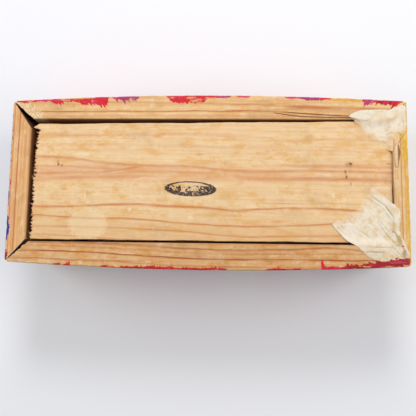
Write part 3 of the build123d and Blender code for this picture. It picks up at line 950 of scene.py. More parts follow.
# The finish of the bottom panel's face, which shows through thin paper too.
def makePanelColourGroup():
    tree, given, made = newGroup("panel_face", {"Vector": (0, 0, 0)}, ("Color", "Height", "Rough"))
    place, look, marks = given["Vector"], panelLook, panelMarks
    parts = axes(tree, place)
    lower = between(tree, parts[1], 1.0, -14.0)
    lean = times(tree, times(tree, plus(tree, parts[0], 70.0), look["slope"]), lower)
    wood = useGroup(tree, softwood, {"Vector": movedAcross(tree, parts, lean),
                                     "Rings": drawnLines(tree, place, look["lines"]), **woodValues(look)})
    drift = drawnCloud(tree, place, (0.02, 0.16, 0.16), 4.0, 0.6, shift=(6, 2, 2))
    away = calc(tree, "ABSOLUTE", minus(tree, parts[1], look["roseAt"]))
    near = between(tree, away, look["roseHalf"] + 1.5, look["roseHalf"] - 2.5)
    colour = overlay(tree, wood["Color"], near, between(tree, drift, 0.38, 0.62, 0.05, 0.42), look["rose"])
    colour = overlay(tree, colour, between(tree, parts[1], -6.0, -24.0), 0.34, look["deep"])
    worn = useGroup(tree, grime, {"Vector": place, "Color": colour, "Grime": 0.2, "Scratches": 0.15})
    stain = spot(tree, place, *marks["paleStain"], 0.16, 0.9)
    colour = overlay(tree, worn["Color"], stain, 0.42, marks["stainTone"])
    centre, size = marks["paleRing"]
    outer = spot(tree, place, centre, size, 0.1, 0.3)
    inner = spot(tree, place, centre, (size[0] * 0.93, size[1] * 0.93), 0.1, 0.3)
    colour = overlay(tree, colour, calc(tree, "SUBTRACT", outer, inner, True), 0.3, marks["ringTone"])
    for group in marks["groups"]:
        for centre, size in group["spots"]:
            mask = spot(tree, place, centre, size, group["softness"], 0.8)
            colour = overlay(tree, colour, mask, group["strength"], group["tone"])
    ink = inkMask(tree, place)
    for centre, size, strength in marks["inkSpots"]:
        mask = times(tree, spot(tree, place, centre, size, 0.9, 1.5), strength)
        ink = calc(tree, "MAXIMUM", ink, mask)
    tree.links.new(mixColour(tree, ink, colour, inkMark["ink"]), made["Color"])
    tree.links.new(wood["Height"], made["Height"])
    tree.links.new(wood["Rough"], made["Rough"])
    return tree


panelFace = makePanelColourGroup()


def panelMaterial():
    material, tree, shader = newMaterial("bottom_panel_wood")
    place = millimetres(tree)
    face = useGroup(tree, panelFace, {"Vector": place})
    tornMix = between(tree, cloud(tree, place, 2.2, 3.0), 0.4, 0.6)
    tornTone = mixColour(tree, tornMix, panelLook["tornDark"], panelLook["tornPale"])
    colour = mixColour(tree, attribute(tree, "torn"), face["Color"], tornTone)
    colour = overlay(tree, colour, attribute(tree, "side"), 0.6, panelLook["side"])
    finishWood(tree, shader, colour, face["Height"], face["Rough"], 0.14)
    return material


makePanel(panelMaterial())
print("bottom panel made")


# splinters along the torn end, made by Geometry Nodes

splinterSpec = dict(
    count=150, length=1.1, thick=0.16, tip=0.02, seed=7, smallest=(0.5, 0.5, 0.35), largest=(1.6, 1.2, 1.5),
    leanFrom=(-0.25, -1.87, 0), leanTo=(0.25, -1.27, 6.2), fromSides=0.4, forwards=0.35, depth=(0.35, 1.5),
    dark=rgb(214, 146, 84), pale=rgb(252, 222, 172),
)


# A Geometry Nodes tree whose geometry input comes first, then its named values.
def newMaker(name, source, values):
    tree = bpy.data.node_groups.new(name, "GeometryNodeTree")
    addSocket(tree, source, "INPUT", "Geometry")
    for label, (kind, value) in values.items():
        addSocket(tree, label, "INPUT", kind, value)
    addSocket(tree, "Made", "OUTPUT", "Geometry")
    return tree, put(tree, "NodeGroupInput").outputs


# Puts a shape at each point, as real geometry of one material.
def placeEach(tree, values, material):
    placed = put(tree, "GeometryNodeInstanceOnPoints", values).outputs[0]
    real = put(tree, "GeometryNodeRealizeInstances", {0: placed}).outputs[0]
    finished = put(tree, "GeometryNodeSetMaterial", {"Geometry": real, "Material": material}).outputs[0]
    put(tree, "NodeGroupOutput", {"Made": finished})


def splinterTree(material):
    spec = splinterSpec
    tree, given = newMaker("torn_fibres", "Edge", {
        "Length": ("Float", spec["length"] * mm), "Thickness": ("Float", spec["thick"] * mm),
        "Seed": ("Int", spec["seed"]), "Wood": ("Material", material)})
    cone = put(tree, "GeometryNodeMeshCone", {
        "Vertices": 5, "Radius Top": spec["tip"] * mm, "Radius Bottom": given["Thickness"],
        "Depth": given["Length"]}).outputs["Mesh"]
    ranges = ((spec["smallest"], spec["largest"]), (spec["leanFrom"], spec["leanTo"]))
    size, lean = [put(tree, "FunctionNodeRandomValue", {0: low, 1: high, "Seed": given["Seed"]},
                      data_type="FLOAT_VECTOR").outputs[0] for low, high in ranges]
    values = {"Points": given["Edge"], "Instance": cone, "Scale": size, "Rotation": lean}
    placeEach(tree, values, given["Wood"])
    return tree


# Runs a Geometry Nodes tree over a set of points and keeps only the plain mesh.
def bakeNodes(name, points, tree, values):
    mesh = bpy.data.meshes.new(name + "_points")
    mesh.from_pydata([tuple(p) for p in points], [], [])
    for key, data in values.items():
        layer = mesh.attributes.new(key, "FLOAT_VECTOR", "POINT")
        layer.data.foreach_set("vector", np.asarray(data, np.float32).ravel())
    carrier = bpy.data.objects.new(name + "_carrier", mesh)
    scene.collection.objects.link(carrier)
    carrier.modifiers.new("made", "NODES").node_group = tree
    view = bpy.context.evaluated_depsgraph_get()
    result = bpy.data.meshes.new_from_object(carrier.evaluated_get(view), depsgraph=view)
    bpy.data.objects.remove(carrier)
    return result


# Random places along the torn end, for the fibres.
def fibrePlaces(spec):
    pick = np.random.default_rng(spec["seed"])
    south = panelLow[1] + spec["fromSides"]
    north = panelHigh[1] - panelSpec["northTaper"] - spec["fromSides"]
    y = np.sort(pick.uniform(south, north, spec["count"]))
    x = panelEnd(y, 0.0) + pick.uniform(0.0, spec["forwards"], len(y))
    z = panelHigh[2] - pick.uniform(*spec["depth"], len(y))
    return np.stack([x, y, z], axis=1) * mm


def fibreMaterial():
    material, tree, shader = newMaterial("torn_fibre_wood")
    place = millimetres(tree)
    tone = mixColour(tree, cloud(tree, place, 0.8, 2.0), splinterSpec["dark"], splinterSpec["pale"])
    tree.links.new(tone, shader.inputs["Base Color"])
    shader.inputs["Roughness"].default_value = 0.7
    return material


fibreFinish = fibreMaterial()
fibreMesh = bakeNodes("torn_fibres", fibrePlaces(splinterSpec), splinterTree(fibreFinish), {})
placePiece("bottom_panel_fibres", fibreMesh, fibreFinish, "box")
print("torn fibres made", len(fibreMesh.polygons))


# glued paper patches

paperSpec = dict(
    spacing=0.4, thickness=0.1, lift=0.03, bridge=3.4, bend=0.8, room=0.2, sink=0.24, sinkWidth=2.4,
    raggedStep=0.5, ragged=0.06, gridSwing=0.1, fineWrinkle=0.05,
)
paperTones = dict(
    pale=rgb(242, 228, 206), dark=rgb(232, 206, 164), stain=rgb(210, 168, 108), flap=rgb(240, 226, 202),
    foldShade=rgb(150, 122, 66), low=rgb(212, 180, 132), speck=rgb(206, 60, 58),
)
# outlines and folds as steps from the box's corner: along the box inwards, and across it inwards.
# A fold is (from, to, height, half width).
northEastPaper = dict(
    node="paper_patch_ne", part="sheet", corner=(plan["right"], plan["north"]), inwards=-1, seed=51,
    outline=[(-5.6, 4.0), (-5.4, 12.4), (0, 13.0), (2.6, 13.5), (4.1, 12.8), (3.9, 16.0), (5.2, 18.2),
             (5.9, 20.6), (8.4, 19.6), (11.0, 18.6), (14.2, 17.6), (17.6, 14.6), (19.6, 12.0), (20.4, 9.3),
             (20.8, 7.9), (23.1, 6.4), (21.7, 5.2), (18.9, 4.1), (16.1, 3.7), (9.0, 3.5), (7.4, 3.8),
             (4.2, 2.5), (1.8, 1.6), (0, 2.6)],
    folds=[((6.6, 14.6), (2.6, 18.0), 0.3, 0.35), ((5.8, 13.0), (1.2, 13.2), 0.25, 0.3),
           ((9.0, 13.6), (5.4, 12.0), 0.22, 0.3), ((13.0, 15.8), (5.6, 16.6), 0.16, 0.35),
           ((12.0, 14.0), (5.8, 14.6), 0.12, 0.3), ((16.0, 3.9), (7.6, 4.1), 0.12, 0.25),
           ((1.5, 5.0), (0.6, 11.0), 0.2, 0.4), ((8.0, 8.0), (3.0, 4.4), 0.1, 0.5)],
    raised=0.0, wrinkle=0.1, turn=0.35, softWidth=5.2, softLeast=0.04, laps=[],
    softEdge=[(0.6, 13.6), (3.8, 15.4), (5.6, 20.4), (8.4, 19.4), (14.2, 17.2), (17.8, 14.6), (19.9, 11.0),
              (20.6, 8.4)],
)
northEastFlap = dict(
    northEastPaper, part="flap", seed=57, raised=0.10, wrinkle=0.05, softEdge=[], softLeast=0.0,
    outline=[(23.2, 6.6), (22.4, 5.6), (21.2, 4.9), (18.6, 3.9), (15.6, 3.6), (13.4, 3.8), (12.4, 5.0),
             (13.8, 6.3), (15.0, 7.6), (16.6, 8.3), (18.4, 8.2), (20.6, 7.4)],
    folds=[((22.6, 6.3), (15.2, 7.5), 0.2, 0.4), ((17.0, 4.4), (13.2, 5.4), 0.14, 0.3)],
)
southEastPaper = dict(
    node="paper_patch_se", part="sheet", corner=(plan["right"], plan["south"]), inwards=1, seed=63,
    outline=[(-4.6, 1.0), (-4.8, 3.0), (0, 3.6), (1.2, 6.0), (2.6, 9.4), (3.9, 12.3), (4.5, 14.3),
             (3.9, 18.4), (3.8, 22.2), (7.7, 25.6), (11.8, 29.3), (17.2, 32.4), (17.8, 30.0), (17.6, 27.2),
             (19.4, 24.0), (21.4, 22.0), (26.6, 19.6), (30.4, 16.2), (27.8, 13.2), (25.0, 10.1),
             (21.0, 7.8), (18.4, 5.2), (16.3, 3.2), (14.4, 2.6), (9.9, 1.4), (8.0, 0.9), (1.5, 0.7),
             (0, 1.4)],
    folds=[((16.0, 27.2), (10.0, 23.3), 0.34, 0.5), ((10.0, 23.3), (7.2, 18.8), 0.45, 0.45),
           ((13.2, 16.5), (4.0, 5.2), 0.30, 0.32), ((11.6, 17.0), (3.0, 5.6), 0.34, 0.3),
           ((15.6, 16.0), (9.0, 8.6), 0.16, 0.4), ((7.4, 13.4), (5.2, 9.8), 0.6, 0.5),
           ((5.4, 10.4), (1.4, 2.2), 0.5, 0.35), ((4.0, 11.8), (0.9, 4.4), 0.42, 0.4),
           ((6.6, 6.2), (2.4, 1.6), 0.4, 0.35), ((16.4, 6.9), (7.0, 6.5), 0.3, 0.4),
           ((22.0, 14.5), (14.0, 9.0), 0.12, 0.5), ((16.6, 5.2), (9.0, 4.4), 0.18, 0.3)],
    raised=0.0, wrinkle=0.13, turn=-0.95, softWidth=5.0, softLeast=0.0,
    softEdge=[(17.4, 31.0), (18.0, 27.0), (20.4, 22.8), (27.0, 19.6)],
    laps=[(17.0, 0.6), (15.2, 1.8), (12.6, 1.9), (9.8, 2.6), (6.5, 3.3), (3.5, 3.6), (0.5, 3.6), (-5.0, 3.6)],
)


# painted shade in a fold pocket and along a grey crease, old glue in the folds, and specks of red: place,
# half size, colour and strength
paperStainsAndShade = [
    ((75.4, -23.0), (1.5, 3.0), rgb(186, 160, 92), 0.75),
    ((77.2, -28.0), (1.0, 2.4), rgb(150, 128, 60), 0.7),
    ((73.6, -17.2), (0.8, 2.4), rgb(200, 174, 108), 0.6),
    ((66.0, -27.4), (6.0, 0.5), rgb(150, 138, 120), 0.5),
    ((73.1, -19.5), (0.5, 0.5), rgb(214, 60, 60), 0.8),
    ((76.8, -25.2), (0.7, 0.5), rgb(214, 40, 44), 0.9),
    ((76.5, 16.5), (1.6, 0.35), rgb(222, 184, 96), 0.8),
    ((74.6, 18.6), (0.35, 1.6), rgb(206, 172, 104), 0.7),
]


def insideOutline(x, y, outline):
    inside = np.zeros(x.shape, bool)
    for (ax, ay), (bx, by) in zip(outline, outline[1:] + outline[:1]):
        crosses = (ay > y) != (by > y)
        with np.errstate(divide="ignore", invalid="ignore"):
            at = ax + (y - ay) / (by - ay) * (bx - ax)
        inside ^= crosses & (x < at)
    return inside


# The outline with points along each side, moved a little off it.
def raggedOutline(outline, spacing, amount, seed):
    points = []
    pickOne = np.random.default_rng(seed)
    for start, end in zip(outline, outline[1:] + outline[:1]):
        start, end = np.array(start), np.array(end)
        steps = max(2, int(np.linalg.norm(end - start) / spacing))
        for step in range(steps):
            points.append(tuple(start + (end - start) * step / steps + pickOne.normal(0, amount, 2)))
    return points


# How far each point lies from a straight line, where along it, and on which side.
def fromLine(x, y, start, end):
    span = np.array(end) - np.array(start)
    share = np.clip(((x - start[0]) * span[0] + (y - start[1]) * span[1]) / (span @ span), 0, 1)
    dx, dy = x - (start[0] + share * span[0]), y - (start[1] + share * span[1])
    return np.hypot(dx, dy), share, np.sign(dx * span[1] - dy * span[0])


def foldHeight(x, y, folds):
    total = np.zeros_like(x)
    for start, end, height, width in folds:
        distance, share, side = fromLine(x, y, start, end)
        taper = np.sin(math.pi * np.clip(share * 0.9 + 0.05, 0, 1)) ** 0.5
        ridge = np.exp(-(distance / width) ** 2) * height
        skirt = np.exp(-((distance - 1.3 * width) / width) ** 2) * height * 0.35 * (side > 0)
        total += (ridge - skirt) * taper
    return total


# Where each point of a flat patch lies once it is glued over the rims, the gap, the panel and the end.
def layPaper(spec, along, across):
    cornerX, cornerY = spec["corner"]
    x = cornerX - along
    y = cornerY + spec["inwards"] * across
    radius = paperSpec["bend"]
    over = radius - along
    bend = np.clip(over / radius, 0, math.pi / 2)
    straight = np.maximum(over - radius * math.pi / 2, 0)
    turned = over > 0
    x = np.where(turned, cornerX - radius + radius * np.sin(bend), x)
    drop = np.where(turned, radius * (1 - np.cos(bend)) + straight, 0)
    within = np.minimum(np.minimum(plan["innerRight"] - x, plan["innerNorth"] - y), y - plan["innerSouth"])
    dip = np.clip((within + 0.25) / paperSpec["bridge"], 0, 1)
    dip = dip * dip * (3 - 2 * dip) * (plan["top"] - plan["panelTop"])
    return x, y, drop, dip, np.where(turned, np.sin(bend), 0)


def makePaper(spec, material, replaced):
    outline = raggedOutline(spec["outline"], paperSpec["raggedStep"], paperSpec["ragged"], spec["seed"])
    low, high = np.min(outline, axis=0), np.max(outline, axis=0)
    step = paperSpec["spacing"]
    gx, gy = np.meshgrid(np.arange(low[0], high[0], step), np.arange(low[1], high[1], step))
    pickOne = np.random.default_rng(spec["seed"] + 1)
    swingBy = paperSpec["gridSwing"]
    gx = (gx + pickOne.uniform(-swingBy, swingBy, gx.shape)).ravel()
    gy = (gy + pickOne.uniform(-swingBy, swingBy, gy.shape)).ravel()
    kept = insideOutline(gx, gy, outline)
    points = [Vector(p) for p in outline + list(zip(gx[kept], gy[kept]))]
    border = [(i, (i + 1) % len(outline)) for i in range(len(outline))]
    made = delaunay_2d_cdt(points, border, [], 1, 1e-5)
    flat = np.array([tuple(p) for p in made[0]])
    along, across = flat[:, 0], flat[:, 1]
    x, y, drop, dip, outwards = layPaper(spec, along, across)
    turnCos, turnSin = math.cos(spec["turn"]), math.sin(spec["turn"])
    turned = np.stack([along * turnCos + across * turnSin, (across * turnCos - along * turnSin) * 0.35,
                       np.zeros_like(along)], axis=1)
    wrinkles = spec["wrinkle"] * (1 - np.abs(lumps(turned, 0.75, spec["seed"])) * 2.2).clip(0, 1) ** 2
    wrinkles += paperSpec["fineWrinkle"] * np.abs(lumps(turned, 2.3, spec["seed"] + 2))
    folds = foldHeight(along, across, spec["folds"])
    rise = paperSpec["lift"] + spec["raised"] + wrinkles + np.maximum(folds, -0.03)
    room = paperSpec["room"] + dip + drop
    rise = room * np.tanh(rise / room)
    soft = spec["softEdge"]
    away = np.full(along.shape, np.inf)
    for start, end in zip(soft, soft[1:]):
        away = np.minimum(away, fromLine(along, across, start, end)[0])
    sheer = np.clip(1 - away / spec["softWidth"], spec["softLeast"], 1)
    sunk = np.clip(1 - away / paperSpec["sinkWidth"], 0, 1)
    rise = rise * (1 - sunk) - paperSpec["sink"] * sunk
    z = plan["top"] - drop - dip + rise * (1 - outwards)
    x = x + rise * outwards * 0.4
    name = f"{spec['node']}_{spec['part']}"
    vertices = np.stack([x, y, z - paperSpec["thickness"] / 2], axis=1)
    faces = [list(f) for f in made[2]]
    piece = newPiece(name, vertices, faces, material, "box", replaced, smoothAngle=70)
    if piece.data.polygons[len(piece.data.polygons) // 2].normal.z < 0:
        piece.data.flip_normals()
    reach = np.full(along.shape, paintReach["bare"])
    if spec["laps"]:
        places, depths = zip(*spec["laps"][::-1])
        edge = plan["south"] - plan["crown"] * (1 - (x / plan["right"]) ** 2)
        reach = np.interp(along, places, depths) - (y - edge)
    pointValues(piece, "sheer", sheer)
    # painted shade in the valleys beside the folds
    pointValues(piece, "foldShade", np.clip(-folds * 9, 0, 1))
    pointValues(piece, "whiter", np.full(along.shape, 1.0 if spec["part"] == "flap" else 0.0))
    pointValues(piece, "reach", reach)
    thicken = piece.modifiers.new("thickness", "SOLIDIFY")
    thicken.thickness = paperSpec["thickness"] * mm
    thicken.offset = 0


def paperMaterial():
    material, tree, shader = newMaterial("glued_paper")
    place, tones = millimetres(tree), paperTones
    blotch = cloud(tree, place, 0.32, 5.0, 0.65)
    colour = mixColour(tree, between(tree, blotch, 0.42, 0.68), tones["pale"], tones["dark"])
    stain = cloud(tree, mapping(tree, place, (0.5, 0.5, 0.5), (7, 3, 1)), 0.5, 4.0, 0.7)
    colour = overlay(tree, colour, between(tree, stain, 0.56, 0.7), 0.4, tones["stain"])
    colour = mixColour(tree, attribute(tree, "whiter"), colour, tones["flap"])
    # painted shade along the folds' valleys
    colour = overlay(tree, colour, attribute(tree, "foldShade"), 0.8, tones["foldShade"])
    low = axes(tree, place)[1]
    colour = mixColour(tree, between(tree, low, -22.0, -32.0, 0.0, 0.45), colour, tones["low"])
    # painted shade of the fold pocket and crease, with glue and red specks
    for centre, size, tone, strength in paperStainsAndShade:
        colour = overlay(tree, colour, spot(tree, place, centre, size, 0.6, 1.3), strength, tone)
    face = useGroup(tree, panelFace, {"Vector": place})
    fade = plus(tree, attribute(tree, "sheer"), swing(tree, blotch, 0.9))
    colour = mixColour(tree, between(tree, fade, 0.0, 0.86, 0.0, 0.96), colour, face["Color"])
    speck = between(tree, cloud(tree, place, 0.75, 2.0, 0.5), 0.755, 0.765)
    colour = mixColour(tree, speck, colour, tones["speck"])
    paint = useGroup(tree, brushedPaint, {"Vector": place, "Reach": attribute(tree, "reach"),
                                          "Tint": paintColours["deepRed"], "Under": paintColours["red"],
                                          "Ragged": 1.0})
    colour = mixColour(tree, paint["Mask"], colour, paint["Color"])
    weave = cloud(tree, place, 6.0, 3.0, 0.7)
    tree.links.new(colour, shader.inputs["Base Color"])
    tree.links.new(bump(tree, plus(tree, weave, blotch), 0.18, 0.0002), shader.inputs["Normal"])
    tree.links.new(between(tree, blotch, 0.3, 0.7, 0.62, 0.5), shader.inputs["Roughness"])
    return material


paperFinish = paperMaterial()
makePaper(northEastPaper, paperFinish, ["paper_patch_ne"])
makePaper(northEastFlap, paperFinish, [])
makePaper(southEastPaper, paperFinish, ["paper_patch_se"])
print("paper patches made")


# a lifted sliver of the right wall, with painted shade round its rim for the crack under it

sliver = dict(
    outline=[(75.3, 15.8), (76.4, 14.8), (76.9, 12.2), (76.5, 9.4), (76.0, 6.1), (75.1, 6.0), (74.5, 8.9),
             (74.45, 12.6)],
    low=39.7, tilt=0.05, top=40.1, pale=rgb(240, 204, 150), late=rgb(176, 96, 46), edge=rgb(112, 52, 26),
)


def makeSliver(material):
    outline = raggedOutline(sliver["outline"], 0.5, 0.03, 5)
    count = len(outline)
    middle = np.mean([p[0] for p in outline])
    upper = [(x, y, sliver["top"] + sliver["tilt"] * (middle - x)) for x, y in outline]
    inner = [(middle + (x - middle) * 0.8, y * 0.985 + 0.16, z + 0.05) for x, y, z in upper]
    lower = [(x, y, sliver["low"]) for x, y in outline]
    rings = [[first + i for i in range(count)] for first in (0, count, 2 * count)]
    faces = []
    for first, second in zip(rings, rings[1:]):
        faces += [[first[i - 1], first[i], second[i], second[i - 1]] for i in range(count)]
    faces += [rings[0], rings[2]]
    vertices = lower + upper + inner
    piece = newPiece("end_wall_right_sliver", vertices, faces, material, "box")
    triangulateCaps(piece)


def sliverMaterial():
    material, tree, shader = newMaterial("sliver_wood")
    place = millimetres(tree)
    turned = mapping(tree, place, turn=math.pi / 2)
    wood = useGroup(tree, softwood, {"Vector": turned, "Pale": sliver["pale"], "Late": sliver["late"]})
    # painted shade: a dark band on the sliver's sloped rim
    edge = between(tree, axes(tree, place)[2], sliver["top"] + 0.05, sliver["top"] + 0.01, 0.0, 0.85)
    colour = mixColour(tree, edge, wood["Color"], sliver["edge"])
    finishWood(tree, shader, colour, wood["Height"], wood["Rough"])
    return material


makeSliver(sliverMaterial())
print("sliver made")


# brads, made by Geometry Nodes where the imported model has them

bradSpec = dict(
    shank=0.6, head=0.95, headThickness=0.5, length=18, proud=0.2, iron=rgb(58, 50, 45), rust=rgb(92, 50, 30),
)


# The lowest and highest corner of each separate solid of a node, in millimetres.
def islandBoxes(node):
    shape = bmesh.new()
    shape.from_mesh(nodes[node].data)
    bmesh.ops.remove_doubles(shape, verts=shape.verts, dist=1e-6)
    left = set(shape.verts)
    boxes = []
    while left:
        stack = [left.pop()]
        island = []
        while stack:
            vertex = stack.pop()
            island.append(tuple(vertex.co))
            for edge in vertex.link_edges:
                other = edge.other_vert(vertex)
                if other in left:
                    left.remove(other)
                    stack.append(other)
        points = np.array(island) / mm
        boxes.append((points.min(0), points.max(0)))
    shape.free()
    return sorted(boxes, key=lambda b: tuple(np.round(b[0], 2)))


def bradTree(material):
    spec = bradSpec
    tree, given = newMaker("brads", "Places", {
        "Shank Radius": ("Float", spec["shank"] * mm), "Head Radius": ("Float", spec["head"] * mm),
        "Head Thickness": ("Float", spec["headThickness"] * mm), "Length": ("Float", spec["length"] * mm),
        "Steel": ("Material", material)})
    # a shank below its place and a flattened dome over it
    shank = put(tree, "GeometryNodeMeshCylinder", {"Vertices": 16, "Radius": given["Shank Radius"],
                                                   "Depth": given["Length"]}).outputs["Mesh"]
    down = put(tree, "ShaderNodeCombineXYZ", {2: times(tree, given["Length"], -0.5)}).outputs[0]
    shank = put(tree, "GeometryNodeTransform", {"Geometry": shank, "Translation": down}).outputs[0]
    dome = put(tree, "GeometryNodeMeshUVSphere", {"Segments": 24, "Rings": 10,
                                                  "Radius": given["Head Radius"]}).outputs["Mesh"]
    flatness = calc(tree, "DIVIDE", given["Head Thickness"], given["Head Radius"])
    squashed = put(tree, "ShaderNodeCombineXYZ", {0: 1.0, 1: 1.0, 2: flatness}).outputs[0]
    head = put(tree, "GeometryNodeTransform", {"Geometry": dome, "Scale": squashed}).outputs[0]
    whole = put(tree, "GeometryNodeJoinGeometry")
    tree.links.new(shank, whole.inputs[0])
    tree.links.new(head, whole.inputs[0])
    way = put(tree, "GeometryNodeInputNamedAttribute", {"Name": "outwards"}, data_type="FLOAT_VECTOR")
    aligned = put(tree, "FunctionNodeAlignEulerToVector", {"Vector": way.outputs[0]}, axis="Z").outputs[0]
    values = {"Points": given["Places"], "Instance": whole.outputs[0], "Rotation": aligned}
    placeEach(tree, values, given["Steel"])
    return tree


def bradMaterial():
    material, tree, shader = newMaterial("brad_iron")
    place = millimetres(tree)
    rust = between(tree, cloud(tree, place, 1.7, 4.0, 0.65), 0.45, 0.62)
    tree.links.new(mixColour(tree, rust, bradSpec["iron"], bradSpec["rust"]), shader.inputs["Base Color"])
    tree.links.new(between(tree, rust, 0.0, 1.0, 0.38, 0.8), shader.inputs["Roughness"])
    tree.links.new(between(tree, rust, 0.0, 1.0, 0.9, 0.1), shader.inputs["Metallic"])
    pits = cloud(tree, place, 5.0, 3.0, 0.7)
    tree.links.new(bump(tree, pits, 0.3, 0.0001), shader.inputs["Normal"])
    return material


bradFinish = bradMaterial()
bradMaker = bradTree(bradFinish)
for node in ("bottom_brads", "corner_brads"):
    heads, ways = [], []
    for low, high in islandBoxes(node):
        axis = int(np.argmax(high - low))
        side = 1 if abs(high[axis]) > abs(low[axis]) else -1
        head = (low + high) / 2
        head[axis] = high[axis] if side > 0 else low[axis]
        head[axis] += side * (bradSpec["proud"] - bradSpec["headThickness"])
        way = np.zeros(3)
        way[axis] = side
        heads.append(head * mm)
        ways.append(way)
    bradMesh = bakeNodes(node, heads, bradMaker, {"outwards": ways})
    placePiece(node + "_iron", bradMesh, bradFinish, "box", [node])
print("brads made")


# lid and jigsaw pieces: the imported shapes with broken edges


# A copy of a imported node's mesh with its facets merged and its edges broken.
def softenedCopy(node, width):
    shape = bmesh.new()
    shape.from_mesh(nodes[node].data)
    bmesh.ops.remove_doubles(shape, verts=shape.verts, dist=1e-6)
    bmesh.ops.dissolve_limit(shape, angle_limit=math.radians(1.0), verts=shape.verts, edges=shape.edges)
    sharp = [e for e in shape.edges if len(e.link_faces) == 2 and e.calc_face_angle(0) > math.radians(50)]
    bmesh.ops.bevel(shape, geom=sharp, offset=width, segments=2, profile=0.6, affect="EDGES",
                    clamp_overlap=True)
    bmesh.ops.triangulate(shape, faces=[f for f in shape.faces if len(f.verts) > 4])
    mesh = bpy.data.meshes.new(node + "_worked")
    shape.to_mesh(mesh)
    shape.free()
    return mesh


# Marks the points of the faces that look down, towards the lid's outside.
def faceDown(piece, name):
    values = np.zeros(len(piece.data.vertices))
    for face in piece.data.polygons:
        if face.normal.z < -0.9:
            values[list(face.vertices)] = 1
    pointValues(piece, name, values)


lidLook = dict(
    pale=rgb(236, 198, 142), late=rgb(190, 112, 58), field=rgb(214, 60, 50), stripe=rgb(232, 186, 78),
    edge=0.25, middle=(3.0, 0.3), border=(67.4, 18.4), soft=0.2,  # the border's half length and half width
)
paintUnder = rgb(236, 200, 140)
ringSpan = 30.0  # late-wood lines of the sawn boards lie within this of the middle


# Late-wood lines of a sawn board, spaced unevenly by a slow swing.
def sawnLines(first, pitch, sway, pace, width, depth, count=10):
    return [(first + pitch * k + sway * math.sin(k * pace), width, depth) for k in range(count)]


# Paint on the marked face, over wood that shows at its worn edge.
def paintFace(tree, shader, place, wood, colour, tint, ragged):
    reach = minus(tree, times(tree, attribute(tree, "face"), 6.0), 4.0)
    paint = useGroup(tree, brushedPaint, {"Vector": place, "Reach": reach, "Tint": tint, "Under": paintUnder,
                                          "Ragged": ragged})
    colour = mixColour(tree, paint["Mask"], colour, paint["Color"])
    finishWood(tree, shader, colour, plus(tree, wood["Height"], paint["Height"]), wood["Rough"])


def lidMaterial():
    material, tree, shader = newMaterial("lid_wood")
    place, look = millimetres(tree), lidLook
    parts = axes(tree, place)
    slow = drawnCloud(tree, place, (0.014, 0.02, 0.02), 2.0, shift=(12, 0, 0))
    across = plus(tree, parts[1], swing(tree, slow, 5.0))
    rings = ringLines(tree, across, sawnLines(-24, 4.1, 1.1, 2.3, 1.1, 0.55), -ringSpan, ringSpan)
    wood = useGroup(tree, softwood, {"Vector": place, "Rings": rings, "Pale": look["pale"],
                                     "Late": look["late"], "Mottling": 0.4})
    colour = useGroup(tree, grime, {"Vector": place, "Color": wood["Color"], "Grime": 0.3, "Scratches": 0.3})
    sides = []
    for part, middle, half in zip(parts, look["middle"], look["border"]):
        away = calc(tree, "ABSOLUTE", minus(tree, part, middle))
        sides.append(between(tree, away, half, half + look["soft"]))
    border = calc(tree, "MAXIMUM", sides[0], sides[1])
    tint = mixColour(tree, border, look["field"], look["stripe"])
    paintFace(tree, shader, place, wood, colour["Color"], tint, 0.5)
    return material


lidMesh = softenedCopy("sliding_lid", lidLook["edge"] * mm)
lidPiece = placePiece("sliding_lid_board", lidMesh, lidMaterial(), "lid", ["sliding_lid"])
faceDown(lidPiece, "face")

puzzleLook = dict(
    rows=4, columns=6, columnsPerLayer=2, edge=0.28, pale=rgb(238, 202, 148), late=rgb(196, 122, 66),
    colours=[rgb(70, 120, 168), rgb(236, 196, 88), rgb(204, 72, 56), rgb(92, 142, 88), rgb(240, 222, 190)],
    waves=9.0, swell=0.06, soft=0.004,
)


# Sawn wood with one face painted in plain waves of colour that run on from piece to piece.
def puzzleMaterial():
    material, tree, shader = newMaterial("puzzle_wood")
    place, look = millimetres(tree), puzzleLook
    parts = axes(tree, place)
    across = plus(tree, parts[1], times(tree, parts[2], 0.7))
    rings = ringLines(tree, across, sawnLines(-26, 3.7, 1.2, 1.7, 1.0, 0.5), -ringSpan, ringSpan)
    wood = useGroup(tree, softwood, {"Vector": place, "Rings": rings, "Pale": look["pale"],
                                     "Late": look["late"], "Mottling": 0.3})
    spots = axes(tree, put(tree, "ShaderNodeUVMap", uv_map="picture").outputs[0])
    swell = times(tree, calc(tree, "SINE", times(tree, spots[0], look["waves"])), look["swell"])
    level = plus(tree, spots[1], swell)
    tint, *others = look["colours"]
    for number, colour in enumerate(others, 1):
        edge = number / len(look["colours"])
        tint = mixColour(tree, between(tree, level, edge, edge + look["soft"]), tint, colour)
    paintFace(tree, shader, place, wood, wood["Color"], tint, 0.3)
    return material


puzzleFinish = puzzleMaterial()


# A UV map that says where each point lies on the whole picture, when the puzzle is put together.
def addPicture(piece, column):
    layout = puzzleLook
    layer = column // layout["columnsPerLayer"]
    low = nodeBox("jigsaw_piece_r1_c1")[0]
    second = nodeBox("jigsaw_piece_r1_c2")[0]
    wholeX = (nodeBox("jigsaw_piece_r3_c2")[0][0] - second[0]) / 2 * layout["rows"]
    pitchY = second[1] - low[1]
    wholeY = pitchY * layout["columns"]
    coordinates = piece.data.uv_layers.new(name="picture").data
    for loop in piece.data.loops:
        point = piece.data.vertices[loop.vertex_index].co / mm
        across = point.y - low[1] + pitchY * layer * layout["columnsPerLayer"]
        coordinates[loop.index].uv = ((point.x - low[0]) / wholeX, across / wholeY)


for row in range(puzzleLook["rows"]):
    for column in range(puzzleLook["columns"]):
        node = f"jigsaw_piece_r{row + 1}_c{column + 1}"
        body = f"layer_{column // puzzleLook['columnsPerLayer'] + 1}"
        worked = softenedCopy(node, puzzleLook["edge"] * mm)
        piece = placePiece(node + "_wood", worked, puzzleFinish, body, [node])
        faceDown(piece, "face")
        addPicture(piece, column)
print("lid and jigsaw pieces made")


# floor, light and camera

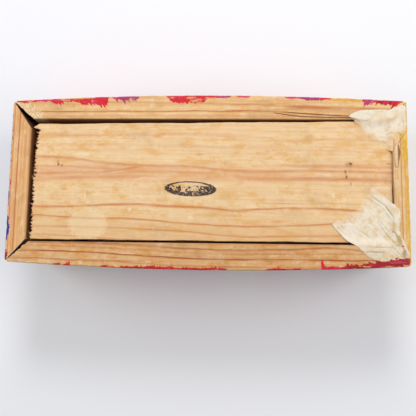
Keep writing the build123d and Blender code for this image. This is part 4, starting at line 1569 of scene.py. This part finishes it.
stageSpec = dict(floor=6.0, tone=rgb(244, 244, 246), worldStrength=0.21, worldTone=(0.86, 0.92, 1.0, 1))
lightSpec = [
    dict(name="leftBox", place=(-0.46, 0.02, 0.36), size=0.52, power=1.62),
    dict(name="rightBox", place=(0.46, 0.02, 0.36), size=0.52, power=1.72),
    dict(name="backBox", place=(0.0, 0.45, 0.42), size=0.18, power=1.55),
]
cameraSpec = dict(place=(8.3, -32.5, 231.0), tilt=6.48, roll=2.12, turn=0.55, lens=41.97, sensor=36.0)


def makeFloor():
    half = stageSpec["floor"] / 2
    mesh = bpy.data.meshes.new("floor")
    corners = [(-half, -half, 0), (half, -half, 0), (half, half, 0), (-half, half, 0)]
    mesh.from_pydata(corners, [], [(0, 1, 2, 3)])
    floor = bpy.data.objects.new("floor", mesh)
    scene.collection.objects.link(floor)
    material, tree, shader = newMaterial("floor_paper")
    shader.inputs["Base Color"].default_value = stageSpec["tone"]
    shader.inputs["Roughness"].default_value = 0.9
    mesh.materials.append(material)


def makeLights():
    world = bpy.data.worlds.new("tent")
    world.use_nodes = True
    background = world.node_tree.nodes["Background"]
    background.inputs["Color"].default_value = stageSpec["worldTone"]
    background.inputs["Strength"].default_value = stageSpec["worldStrength"]
    scene.world = world
    for spec in lightSpec:
        data = bpy.data.lights.new(spec["name"], "AREA")
        data.shape = "DISK"
        data.size = spec["size"]
        data.energy = spec["power"]
        lamp = bpy.data.objects.new(spec["name"], data)
        lamp.location = spec["place"]
        lamp.rotation_euler = (-Vector(spec["place"])).to_track_quat("-Z", "Y").to_euler()
        scene.collection.objects.link(lamp)


def makeCamera():
    data = bpy.data.cameras.new("camera")
    data.lens = cameraSpec["lens"]
    data.sensor_width = cameraSpec["sensor"]
    camera = bpy.data.objects.new("camera", data)
    scene.collection.objects.link(camera)
    turn = Matrix.Rotation(math.radians(cameraSpec["turn"]), 4, "Z")
    tilt = Matrix.Rotation(math.radians(cameraSpec["tilt"]), 4, "X")
    roll = Matrix.Rotation(math.radians(cameraSpec["roll"]), 4, "Y")
    camera.matrix_world = Matrix.Translation(Vector(cameraSpec["place"]) * mm) @ turn @ tilt @ roll
    scene.camera = camera


makeFloor()
makeLights()
makeCamera()
print("stage made")
